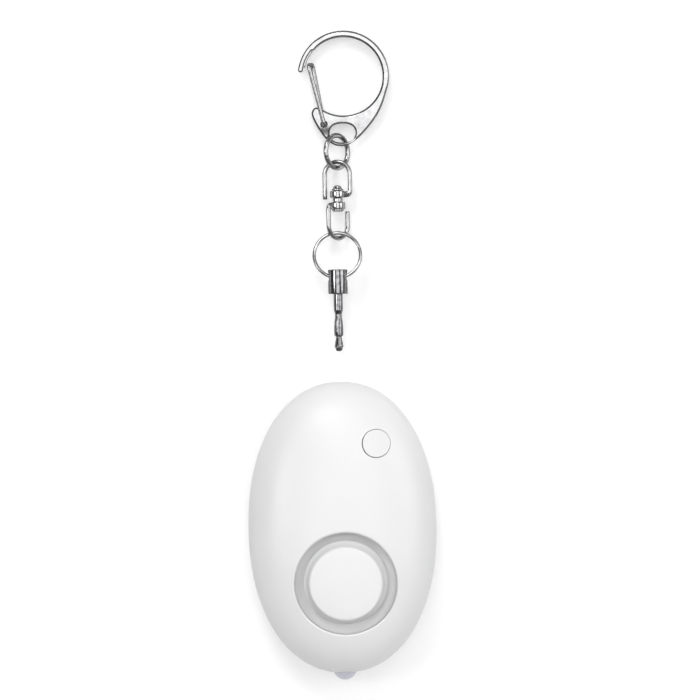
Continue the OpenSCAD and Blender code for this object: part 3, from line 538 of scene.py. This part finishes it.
def led_hole():
    r = LED_R + 0.08
    profile = [(0, 0), (r + 0.5, 0), (r + 0.15, 1.45), (r, 1.75), (r, 5), (0, 5)]
    return spun(bmesh.new(), profile, lengthwise(-CASE_B - 1.2), 64)


def pin_hole():
    r = PIN_R + 2 * FIT
    profile = [(0, 0), (r, 0), (r, 3.55), (r + 0.35, 4.25), (r + 0.6, 5), (0, 5)]
    return spun(bmesh.new(), profile, lengthwise(CASE_B - 4), 64)


def screw_well(place, r):
    edge = 0.13
    profile = [(0, -1), (r + edge, -1), (r + edge, 0.01), (r, 0.01 + edge), (r, 4), (0, 4)]
    return spun(bmesh.new(), profile, Matrix.Translation((*place, 0)), 48)


def door_opening(low, high):
    """Cuts the battery door's opening, with round ends and a broken edge, from the door's own box."""
    edge, arc_steps = 0.12, 32
    half = -low.x + FIT
    outline = []
    for end, start in ((high.y + FIT - half, 0.0), (low.y - FIT + half, math.pi)):
        for i in range(arc_steps + 1):
            t = start + math.pi * i / arc_steps
            outline.append(Vector((half * math.cos(t), end + half * math.sin(t), 0)))
    wider = 1 + edge / 10
    rings = [[p * grow + Vector((0, 0, z)) for p in outline]
             for grow, z in ((wider, -1), (wider, 0.02), (1, edge), (1, 4))]
    return loft(bmesh.new(), rings, first_pole=True, last_pole=True)


def back_ring(inset, share):
    """A ring of the rounded back, from its flat at share 0 to the parting line at 1, drawn in by an inset."""
    wide = math.sin(math.pi / 2 * share) ** (2 / BACK_POWER)
    drop = math.cos(math.pi / 2 * share) ** (2 / BACK_POWER)
    grow = -BACK_ROUND + (BACK_ROUND - inset) * wide
    return oval_ring(CASE_A + grow, CASE_B + grow, inset + (PARTING - inset) * (1 - drop))


def rear_shell():
    def rim(inset, z):
        return oval_ring(CASE_A - inset, CASE_B - inset, PARTING + z)
    inner_steps, outer_steps = 10, 24
    rings = [oval_ring(1, 1.5, WALL), oval_ring(7, 12, WALL)]
    rings += [back_ring(WALL, i / inner_steps) for i in range(inner_steps)]
    rings += [rim(WALL, -0.2), rim(WALL, LIP_TOP), rim(LIP_INSET, LIP_TOP), rim(LIP_INSET, -SEAM_GAP)]
    rings += [rim(inset, -height) for inset, height in reversed(SEAM_EDGE)]
    rings += [back_ring(0.0, i / outer_steps) for i in reversed(range(outer_steps - 1))]
    rings += [oval_ring(9, 16, 0), oval_ring(1, 1.5, 0)]
    shell = loft(bmesh.new(), rings, first_pole=True, last_pole=True)
    low, high = [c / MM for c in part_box("battery_door")]
    ear = tuple(c / MM for c in (sum(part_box("battery_door_screw"), Vector()) / 2)[:2])
    wells = [screw_well(ear, high.x - ear[0] + FIT)]
    wells += [screw_well(place, SCREW_WELL_R) for place in SCREW_PLACES]
    shell = carve(shell, [led_hole(), pin_hole(), door_opening(low, high)] + wells)
    return shown(shell, "rear_shell_skin", white, "root", ["rear_shell"], 35)


def cap_ring(r, share):
    """A ring of the sounder cap, part of the way from the dome down to the level of the cap's edge."""
    tops, feet = flush_ring(SOUNDER_AT, r, 0.0), sounder_ring(r, CAP_EDGE_Z)
    return [top.lerp(foot, share) for top, foot in zip(tops, feet)]


# The cap's slope as shares of its width and of its drop
CAP_SLOPE = ((-0.12, 0.01), (-0.02, 0.04), (0.05, 0.09), (0.13, 0.19), (0.25, 0.36), (0.42, 0.57), (0.62, 0.76),
             (0.82, 0.9), (0.93, 0.955), (0.98, 0.975), (1.0, 1.0))


def sounder_cap():
    edge, flat = SLIT_R - SLIT / 2, DISC_R - 0.3
    hub_r, hub_z = 2.5, CAP_FOOT_Z - 0.25
    rings = [flush_ring(SOUNDER_AT, r, 0.0) for r in (0.3, 1.5, 2.7, 3.9, 5.1, 6.1, 6.8, flat)]
    rings += [cap_ring(DISC_R + (edge - DISC_R) * across, share) for across, share in CAP_SLOPE]
    rings += [sounder_ring(r, z) for r, z in (
        (edge - 0.06, CAP_EDGE_Z - 0.05), (edge - 0.6, CAP_EDGE_Z - 0.08), (edge - 0.64, CAP_FOOT_Z + 0.05),
        (edge - 0.69, CAP_FOOT_Z), (hub_r + 0.1, CAP_FOOT_Z), (hub_r, CAP_FOOT_Z - 0.05), (hub_r, hub_z),
        (0.5, hub_z))]
    cap = loft(bmesh.new(), rings, first_pole=True, last_pole=True)

    def outside(place):
        on_disc = math.dist(place[:2], SOUNDER_AT) < flat - 0.01
        return dome_normal(*place) if on_disc and place.z > SOUNDER_Z - 2 else None
    return shown(cap, "sounder_cap_disc", disc_white_painted_shade, "root", ["sounder_cap"], 40, outside)


def light_button():
    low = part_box("light_button")[0].z / MM
    lip, flange_r, flange_top, edge = 0.1, BUTTON_R + 0.7, low + 0.8, 0.08
    rings = [flush_ring(BUTTON_AT, r, 0.0, BUTTON_AROUND) for r in (0.3, 0.9, 1.5, 2.1, 2.5)]
    for b in reversed(quarter(5)):
        r, depth = BUTTON_R - lip * (1 - math.cos(b)), lip * (1 - math.sin(b))
        rings.append(flush_ring(BUTTON_AT, r, depth, BUTTON_AROUND))
    rings += [level_ring(BUTTON_AT, r, z) for r, z in (
        (BUTTON_R, flange_top + 0.05), (BUTTON_R + 0.05, flange_top), (flange_r - edge, flange_top),
        (flange_r, flange_top - edge), (flange_r, low + edge), (flange_r - edge, low), (0.4, low))]
    key = loft(bmesh.new(), rings, first_pole=True, last_pole=True)

    def outside(place):
        near = math.dist(place[:2], BUTTON_AT) < BUTTON_R - lip + 0.01
        return dome_normal(*place) if near and place.z > low + 2 else None
    return shown(key, "light_button_key", button_white, "button", ["light_button"], 40, outside)


def led():
    low, high = [c.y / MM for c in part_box("led_lens")]
    length, r, flange = high - low, LED_R, 0.4
    profile = rounded([(0, 0), (r + flange, 0), (r + flange, 1.0), (r, 1.0), (r, length - r)], 0.12)
    profile += [(r * math.cos(a), length - r + r * math.sin(a)) for a in quarter(16)[1:]]
    place = Matrix.Translation((0, high, PARTING)) @ Matrix.Rotation(math.radians(90), 4, "X")
    lens = spun(bmesh.new(), profile, place, 64)
    return shown(lens, "torch_led_lens", led_clear, "root", ["led_lens"], 40)


# Chain

def pull_pin():
    r = PIN_R
    waist, neck, length = 0.74 * r, 0.63 * r, 13.8
    corners = [(0, 0), (0.45 * r, 0.06), (0.72 * r, 0.28), (0.8 * r, 0.72), (0.97 * r, 0.98), (0.97 * r, 1.2),
               (neck, 2.95), (neck, 3.15), (r, 3.4), (r, 5.2), (0.9 * r, 6.4), (waist, 7.45), (waist, 7.95),
               (r, 8.75), (r, length), (0, length)]
    pin = spun(bmesh.new(), rounded(corners, 0.12, 4), lengthwise(PIN_TIP_Y), 72)
    return shown(pin, "pull_pin_turned", pin_chrome, "pin", ["pull_pin"], 50)


def pin_collar():
    r, length = 2.05, 5.2
    corners = [(0, 0.12), (1.0, 0.12), (1.1, 0), (r, 0), (r, length), (1.35, length), (1.15, length - 0.12),
               (0, length - 0.12)]
    collar = spun(bmesh.new(), rounded(corners, 0.22, 5), lengthwise(COLLAR_Y), 96)
    half_hole = [(0.78, 1.6), (0.85, 1.85), (1.02, 2.02), (1.02, 3), (0, 3)]
    hole = spun(bmesh.new(), [(x, -z) for x, z in reversed(half_hole)] + half_hole,
                Matrix.Translation((0, COLLAR_HOLE_Y, PARTING)) @ Matrix.Rotation(math.radians(90), 4, "Y"), 48)
    collar = carve(collar, [hole])
    return shown(collar, "pin_collar_turned", pin_chrome, "pin", ["pin_collar"], 40)


def wire_ring(name, radius, wire, place, seam_turn, body, node):
    """A round wire ring whose ends meet at a fine seam."""
    half, gap, steps, end_size = wire / 2, 0.035 / radius, 120, 0.93
    path = []
    for i in range(steps + 1):
        t = seam_turn + gap + (2 * math.pi - 2 * gap) * i / steps
        path.append(place @ Vector((radius * math.cos(t), radius * math.sin(t), 0)))

    def section(share):
        at_end = min(share, 1 - share) * steps < 0.5
        size = half * (end_size if at_end else 1.0)
        return size, size, 2.0
    ring = tube(bmesh.new(), path, section, 20, up=place.to_3x3() @ Vector((0, 0, 1)))
    return shown(ring, name, chrome, body, [node], 50)


def pin_ring():
    radius = 4.935
    place = (Matrix.Translation((0, PIN_RING_Y, PARTING)) @ Matrix.Rotation(math.radians(-15), 4, "X")
             @ Matrix.Translation((0, radius, 0)))
    return wire_ring("pin_ring_wire", radius, 0.73, place, math.radians(20), "pin_ring", "pin_ring")


def link_ring():
    place = Matrix.Translation((CHAIN_X, LINK_RING_Y, LINK_RING_Z)) @ Matrix.Rotation(math.radians(48), 4, "Y")
    return wire_ring("link_ring_wire", 3.47, 1.06, place, math.radians(200), "link_ring", "link_ring")


def bow(name, place, free_end, body, node):
    """A rod bent to a bow: one leg ends free, the other turns into the plate around the rivet."""
    arch_steps, bend_steps, plate_steps = 32, 10, 3
    bend, half_plate, plate_round, hole = 0.8, PLATE_T / 2, 0.22, 0.75
    leg = free_end + 0.2
    path = [Vector((-BOW_MID, free_end + 0.06, 0)), Vector((-BOW_MID, leg, 0))]
    path += [Vector((-BOW_MID, leg + (BOW_ARCH - leg) * i / 8, 0)) for i in range(1, 8)]
    path += [Vector((BOW_MID * math.cos(t), BOW_ARCH + BOW_MID * math.sin(t), 0))
             for t in [math.pi * (1 - i / arch_steps) for i in range(arch_steps + 1)]]
    path += [Vector((BOW_MID, BOW_ARCH + (half_plate + bend - BOW_ARCH) * i / 6, 0)) for i in range(1, 6)]
    path += [Vector((BOW_MID - bend + bend * math.cos(a), half_plate + bend - bend * math.sin(a), 0))
             for a in quarter(bend_steps)]
    path += [Vector((BOW_MID - bend - 0.35 * i, half_plate, 0)) for i in range(1, plate_steps + 1)]
    last = len(path) - 1
    turn_start = last - bend_steps - plate_steps

    def section(share):
        i = share * last
        if i < 0.5:
            return ROD - 0.08, ROD - 0.08, 2.0
        s = eased((i - turn_start) / bend_steps)
        return ROD + (half_plate - 0.06 - ROD) * s, ROD * (1 - 0.12 * s), 2.0 + 1.6 * s
    bm = tube(bmesh.new(), path, section, 24)
    profile = [(hole, 0.1), (hole + 0.1, 0), (PLATE_R - plate_round, 0)]
    profile += [(PLATE_R - plate_round * (1 - math.sin(a)), plate_round * (1 - math.cos(a)))
                for a in quarter(4)[1:]]
    profile += [(PLATE_R, PLATE_T - plate_round)]
    profile += [(PLATE_R - plate_round * (1 - math.cos(a)), PLATE_T - plate_round * (1 - math.sin(a)))
                for a in quarter(4)[1:]]
    profile += [(hole + 0.1, PLATE_T), (hole, PLATE_T - 0.1), (hole, 0.1)]
    spun(bm, profile, Matrix.Rotation(math.radians(-90), 4, "X"), 64)
    bmesh.ops.transform(bm, matrix=place, verts=bm.verts)
    return shown(bm, name, chrome, body, [node], 45)


def swivel():
    at_rivet = Matrix.Translation((CHAIN_X, RIVET_Y, RIVET_Z))
    lower = at_rivet @ Matrix.Rotation(math.radians(43), 4, "Y") @ Matrix.Rotation(math.radians(180), 4, "Z")
    upper = (Matrix.Translation((CHAIN_X, RIVET_Y + PLATES_APART, RIVET_Z))
             @ Matrix.Rotation(math.radians(-12), 4, "Y"))
    bow("swivel_lower_rod", lower, PLATE_T + 0.35, "lower_bow", "swivel_lower_bow")
    bow("swivel_upper_rod", upper, -0.35, "upper_bow", "swivel_upper_bow")
    r, neck_r, head_r = 0.7, 1.05, 1.25
    tail, neck, head = -PLATE_T - 0.5, PLATES_APART - 0.08, PLATES_APART + PLATE_T + 0.08
    corners = [(0, tail), (0.75 * head_r, tail), (head_r, tail + 0.2), (head_r, -PLATE_T), (r, -PLATE_T), (r, 0),
               (neck_r, 0), (neck_r, neck), (r, neck), (r, head), (head_r, head), (head_r, head + 0.25),
               (0.72 * head_r, head + 0.42), (0.66 * head_r, head + 0.85), (0.4 * head_r, head + 1.05),
               (0, head + 1.1)]
    place = at_rivet @ Matrix.Rotation(math.radians(-90), 4, "X")
    rivet = spun(bmesh.new(), rounded(corners, 0.1, 4), place, 48)
    return shown(rivet, "swivel_rivet_peened", chrome, "lower_bow", ["swivel_rivet"], 45)


# Places along the clip's foot, from the right of the hook round under the link bar to the gate's lobe
FOOT_EDGE = [(10.46, 90.5), (9.42, 88.2), (8.2, 86.35), (6.9, 84.75), (5.25, 83.05), (3.7, 81.85), (2.4, 81.2),
             (1.1, 81.1), (-0.2, 81.35), (-1.55, 82.25), (-2.75, 83.6), (-3.85, 85.4), (-4.7, 87.15),
             (-4.92, 88.2), (-4.6, 89.05), (-3.95, 89.4), (-3.15, 89.2)]


def hook_point(turn, r):
    """A place on the hook by its angle in degrees and its distance from the hook's middle."""
    return Vector((HOOK_X + r * math.cos(math.radians(turn)), HOOK_Y + r * math.sin(math.radians(turn)), 0))


def smooth_through(points, steps=6):
    """A smooth line through the inner points, led in and out by the first and last."""
    made = []
    for a, b, c, d in zip(points, points[1:], points[2:], points[3:]):
        for i in range(steps):
            s = i / steps
            made.append(0.5 * (2 * b + (c - a) * s + (2 * a - 5 * b + 4 * c - d) * s ** 2
                               + (3 * b - a - 3 * c + d) * s ** 3))
    return made


def clip_outline():
    notch_in, notch_steps, tip_steps, shortest = 0.36, 7, 10, 0.04
    outer = [hook_point(t, HOOK_OUT) for t in range(171, -14, -3)]
    foot = smooth_through([outer[-2], outer[-1]] + [Vector((*p, 0)) for p in FOOT_EDGE]
                          + [hook_point(-122, HOOK_IN), hook_point(-118, HOOK_IN)])
    inner = [hook_point(t, HOOK_IN) for t in range(-122, 137, 3)]
    inner += [hook_point(137 + 0.5 * i, HOOK_IN + notch_in * eased(i / notch_steps))
              for i in range(1, notch_steps + 1)]
    inner += [hook_point(t, HOOK_IN + notch_in) for t in range(143, 170, 3)]
    mid, half = (HOOK_OUT + HOOK_IN + notch_in) / 2, (HOOK_OUT - HOOK_IN - notch_in) / 2
    tip = [hook_point(171 + 2.6 * math.sin(b), mid - half * math.cos(b))
           for b in [math.pi * i / tip_steps for i in range(tip_steps)]]
    outline = outer[:-1] + foot + inner + tip
    return [p for p, q in zip(outline, outline[1:] + outline[:1]) if (q - p).length > shortest]


# A broken edge, inwards and down from the face, as shares of its width
EASED_EDGE = ((0.0, 0.75), (0.02, 0.62), (0.1, 0.5), (0.8, 0.1), (0.92, 0.03), (1.0, 0.0))


def slab(bm, loops, half, edges, lines=(), ease=lambda place: 1.0):
    """A flat slab inside an outline and outside its holes, with broken edges on both faces.

    Its faces are split along lines of equal y, and ease gives each edge's share of its full width at a place.
    """
    rims = []
    for i, (places, edge) in enumerate(zip(loops, edges)):
        area = sum(p.cross(q).z for p, q in zip(places, places[1:] + places[:1]))
        side = math.copysign(1, area) * (1 if i == 0 else -1)
        inward = []
        for before, after in zip(places[-1:] + places[:-1], places[1:] + places[:1]):
            along = (after - before).normalized()
            inward.append(Vector((-along.y, along.x, 0)) * side)
        widths = [edge * ease(place) for place in places]
        ring = first_ring(bm, places)
        for drawn, drop in EASED_EDGE:
            ring = next_ring(bm, ring, [
                place + way * (width * drawn) + Vector((0, 0, half - width * drop))
                for place, way, width in zip(places, inward, widths)])
        rims += ring_edges(bm, ring)
    bmesh.ops.triangle_fill(bm, use_beauty=True, use_dissolve=False, edges=rims, normal=(0, 0, 1))
    for y in lines:
        top = [f for f in bm.faces if all(v.co.z > half - 1e-4 for v in f.verts)]
        geometry = {part for f in top for part in (f, *f.edges, *f.verts)}
        bmesh.ops.bisect_plane(bm, geom=list(geometry), plane_co=(0, y, 0), plane_no=(0, 1, 0), dist=1e-4)
    bmesh.ops.mirror(bm, geom=bm.verts[:] + bm.edges[:] + bm.faces[:], axis="Z", merge_dist=1e-4)
    bmesh.ops.remove_doubles(bm, verts=bm.verts, dist=1e-5)
    bmesh.ops.recalc_face_normals(bm, faces=bm.faces)


def foot_taper(x, y):
    """Share of the clip's full thickness, thinning towards the link bar."""
    thinnest, start_y, length, longer_at_right = 0.4, 82.3, 4.2, 2.0
    right = eased((x + 0.5) / 3)
    return thinnest + (1 - thinnest) * eased((y - start_y) / (length + longer_at_right * right))


def clip_face_normal(place):
    """The exact normal on the clip's two faces, or None elsewhere."""
    height = place.z - CLIP_Z
    if abs(abs(height) - CLIP_HALF * foot_taper(place.x, place.y)) > 0.004:
        return None
    step = 0.05

    def slope(dx, dy):
        rise = foot_taper(place.x + dx, place.y + dy) - foot_taper(place.x - dx, place.y - dy)
        return CLIP_HALF * rise / (2 * step)
    return Vector((-slope(step, 0), -slope(0, step), math.copysign(1, height))).normalized()


def clip_body():
    bm = bmesh.new()
    slot_x, slot_y, slot_w, slot_h, slot_power = 1.6, 83.9, 2.75, 2.03, 2.35
    pivot_r, tongue_half = 0.52, 0.42
    taper_lines = [81.6 + 0.35 * i for i in range(24)]
    slot = []
    for t in turns(56):
        across, up = [math.copysign(abs(part) ** (2 / slot_power), part) for part in (math.cos(t), math.sin(t))]
        slot.append(Vector((slot_x + slot_w * across, slot_y + slot_h * up, 0)))
    hole = [Vector((PIVOT[0] + pivot_r * math.cos(t), PIVOT[1] + pivot_r * math.sin(t), 0)) for t in turns(28)]

    def narrow_nose(place):
        on_nose = min(max(HOOK_X - 5.5 - place.x, 0.0), 1.0) if place.y > HOOK_Y else 0.0
        return 1 - 0.3 * on_nose
    slab(bm, [clip_outline(), slot, hole], CLIP_HALF, [0.4, 0.36, 0.3], taper_lines, narrow_nose)
    for v in bm.verts:
        thinner = CLIP_HALF * (1 - foot_taper(v.co.x, v.co.y))
        v.co.z = math.copysign(max(abs(v.co.z) - thinner, 0.0), v.co.z)
    tongue = bmesh.new()
    edge = [hook_point(t, HOOK_OUT - 0.35) for t in range(166, 139, -2)]
    edge += [hook_point(t, HOOK_IN + 0.04) for t in range(140, 167, 2)]
    slab(tongue, [edge], tongue_half, [0.1])
    spare = bpy.data.meshes.new("nose_tongue")
    tongue.to_mesh(spare)
    tongue.free()
    bm.from_mesh(spare)
    bpy.data.meshes.remove(spare)
    bmesh.ops.translate(bm, vec=(0, 0, CLIP_Z), verts=bm.verts)
    return shown(bm, "clip_body_cast", chrome, "clip", ["clip_body"], 40, clip_face_normal)


def clip_gate():
    wire, leg_z, tip = 0.425, 1.555, Vector((-5.39, 98.44, 0))
    tip_bend, foot_bend, bend_steps, spacing, lean_at_tip = 0.8, 0.55, 8, 0.6, 0.85
    foot = Vector((*PIVOT, 0))
    along = tip - foot
    length = along.length
    along.normalize()
    right = Vector((along.y, -along.x, 0))
    path = []
    for centre_u, face, start, bend in ((length - tip_bend, 1, 90, tip_bend), (length - tip_bend, -1, 0, tip_bend),
                                        (foot_bend, -1, 270, foot_bend), (foot_bend, 1, 180, foot_bend)):
        for i in range(bend_steps + 1):
            t = math.radians(start - 90 * i / bend_steps)
            path.append((centre_u + bend * math.cos(t), face * (leg_z - bend) + bend * math.sin(t)))
    places = []
    for (u, z), (u2, z2) in zip(path, path[1:] + path[:1]):
        pieces = max(1, int(math.hypot(u2 - u, z2 - z) / spacing))
        for i in range(pieces):
            s = i / pieces
            cu, cz = u + (u2 - u) * s, z + (z2 - z) * s
            lean = lean_at_tip * max(cu / length, 0.0) * max(0.5 - cz / (2 * leg_z), 0.0)
            places.append(foot + along * cu + right * lean + Vector((0, 0, CLIP_Z + cz)))
    gate = tube(bmesh.new(), places, lambda share: (wire, wire, 2.5), 24, closed=True, up=right)
    return shown(gate, "clip_gate_wire", gate_steel, "gate", ["clip_gate"], 50)


front_shell()
rear_shell()
sounder_cap()
light_button()
led()
pull_pin()
pin_collar()
pin_ring()
swivel()
link_ring()
clip_body()
clip_gate()


# Solids that keep their shape get their own finish and broken edges of a width in millimetres
SAME_PLACE, FLAT_WITHIN, EDGE_FROM = 1e-6, math.radians(0.5), math.radians(40)
KEPT = {
    "battery_door": (white, 0.15), "battery_door_screw": (screw_steel, 0.06), "case_screws": (screw_steel, 0.06),
    "piezo_plate": (piezo_brass, 0.03), "piezo_ceramic": (piezo_silver, 0.03), "piezo_lead_red": (lead_red, 0.05),
    "piezo_lead_black": (lead_black, 0.05), "circuit_board": (board_green, 0.06),
    "controller_chip": (chip_black, 0.08), "boost_coil": (coil_copper, 0.08),
    "driver_transistor": (chip_black, 0.06), "chip_resistors": (chip_black, 0.05),
    "chip_capacitors": (chip_tan, 0.08), "switch_body": (switch_grey, 0.1), "switch_plunger": (lead_black, 0.1),
    "led_leads": (lead_tin, 0.04), "socket_housing": (socket_black, 0.12),
    "socket_contact_upper": (contact_brass, 0.03), "socket_contact_lower": (contact_brass, 0.03),
    "button_cell_1": (cell_steel, 0.1), "button_cell_2": (cell_steel, 0.1), "button_cell_3": (cell_steel, 0.1),
    "cell_contact_positive": (contact_brass, 0.04), "cell_contact_negative": (contact_brass, 0.04),
    "cell_link_front": (contact_brass, 0.04), "cell_link_rear": (contact_brass, 0.04)}
for name, (material, edge) in KEPT.items():
    solid = nodes[name]
    solid.data.materials.clear()
    solid.data.materials.append(material)
    weld = solid.modifiers.new("weld", "WELD")
    weld.merge_threshold = SAME_PLACE
    flat = solid.modifiers.new("flat", "DECIMATE")
    flat.decimate_type, flat.angle_limit = "DISSOLVE", FLAT_WITHIN
    soft = solid.modifiers.new("edges", "BEVEL")
    soft.width, soft.segments, soft.limit_method, soft.angle_limit = edge * MM, 3, "ANGLE", EDGE_FROM
    soft.harden_normals = False


# Studio

def camera():
    """Looks straight down from far off, turned by about a degree; the picture's width holds at a focus height."""
    picture_width, focus_z, middle_x, middle_y = 148.9, 5, 2.31, 37.6
    data = bpy.data.cameras.new("camera")
    data.lens, data.sensor_width = 250.0, 36.0
    made = placed("camera", data)
    up = Vector((0.0191, 0.9998, 0)).normalized()
    right = up.cross(Vector((0, 0, 1)))
    height = picture_width * data.lens / data.sensor_width + focus_z
    made.matrix_world = Matrix((
        (right.x, up.x, 0, middle_x * MM), (right.y, up.y, 0, middle_y * MM), (0, 0, 1, height * MM), (0, 0, 0, 1)))
    data.clip_start, data.clip_end = 0.01, 20
    bpy.context.scene.camera = made


def floor():
    """A matt table that takes shadows, and looks whiter to the camera and in the metal than it lights the part."""
    half_width, below, grey, added_glow = 6.0, 0.00005, 0.66, 0.4
    bm = bmesh.new()
    bmesh.ops.create_grid(bm, x_segments=8, y_segments=8, size=half_width)
    mesh = bpy.data.meshes.new("table")
    bm.to_mesh(mesh)
    bm.free()
    made = placed("table", mesh)
    made.location.z = -below
    material = bpy.data.materials.new("table_white")
    material.use_nodes = True
    tree = material.node_tree
    tree.nodes.remove(tree.nodes["Principled BSDF"])
    out = tree.nodes["Material Output"]
    matt = tree.nodes.new("ShaderNodeBsdfDiffuse")
    matt.inputs["Color"].default_value = (grey, grey, grey, 1)
    glow = tree.nodes.new("ShaderNodeEmission")
    path = tree.nodes.new("ShaderNodeLightPath")
    seen = path.outputs["Is Camera Ray"]
    for ray in ("Is Glossy Ray", "Is Transmission Ray"):
        either = tree.nodes.new("ShaderNodeMath")
        either.operation = "MAXIMUM"
        link(tree, seen, either.inputs[0])
        link(tree, path.outputs[ray], either.inputs[1])
        seen = either.outputs[0]
    level = tree.nodes.new("ShaderNodeMath")
    level.operation = "MULTIPLY"
    level.inputs[1].default_value = added_glow
    link(tree, seen, level.inputs[0])
    link(tree, level.outputs[0], glow.inputs["Strength"])
    both = tree.nodes.new("ShaderNodeAddShader")
    link(tree, matt.outputs[0], both.inputs[0])
    link(tree, glow.outputs[0], both.inputs[1])
    link(tree, both.outputs[0], out.inputs["Surface"])
    mesh.materials.append(material)


def sky():
    """Grey surroundings, brighter towards the right."""
    grey = 0.25
    world = bpy.data.worlds.new("studio")
    bpy.context.scene.world = world
    world.use_nodes = True
    tree = world.node_tree
    back = tree.nodes["Background"]
    back.inputs["Color"].default_value = (grey, grey, grey, 1)
    where = tree.nodes.new("ShaderNodeTexCoord")
    brighter_right = tree.nodes.new("ShaderNodeVectorMath")
    brighter_right.operation = "DOT_PRODUCT"
    brighter_right.inputs[1].default_value = (0.5, 0.1, 0.0)
    link(tree, where.outputs["Generated"], brighter_right.inputs[0])
    level = tree.nodes.new("ShaderNodeMath")
    level.operation = "ADD"
    level.inputs[1].default_value = 1.0
    link(tree, brighter_right.outputs["Value"], level.inputs[0])
    link(tree, level.outputs[0], back.inputs["Strength"])


def lamp(name, azimuth, elevation, distance, size, watts, mirrored=True):
    """A round soft box aimed at the part from a direction in degrees, at a distance and of a size in metres.

    Azimuth 0 is at the right and 90 at the chain's end; a lamp that isn't mirrored doesn't show in the metal.
    """
    aim = Vector((0, 0.03, 0))
    data = bpy.data.lights.new(name, "AREA")
    data.shape, data.size, data.energy = "DISK", size, watts
    made = placed(name, data)
    turn, rise = math.radians(azimuth), math.radians(elevation)
    way = Vector((math.cos(rise) * math.cos(turn), math.cos(rise) * math.sin(turn), math.sin(rise)))
    made.location = way * distance + aim
    made.rotation_euler = way.to_track_quat("Z", "Y").to_euler()
    made.visible_glossy = mirrored


camera()
floor()
sky()
lamp("overhead", 90, 89, 1.3, 0.85, 4.0)
lamp("upper", 79, 65, 1.0, 0.5, 1.2)
lamp("upper_low", 104, 45, 1.0, 0.35, 2.8)
lamp("right", 14, 38, 1.0, 0.6, 2.4)
lamp("left", 170, 48, 1.0, 0.3, 1.9)
lamp("lower", 270, 17, 1.0, 0.4, 1.5, mirrored=False)
bpy.context.scene.view_settings.view_transform = "Standard"
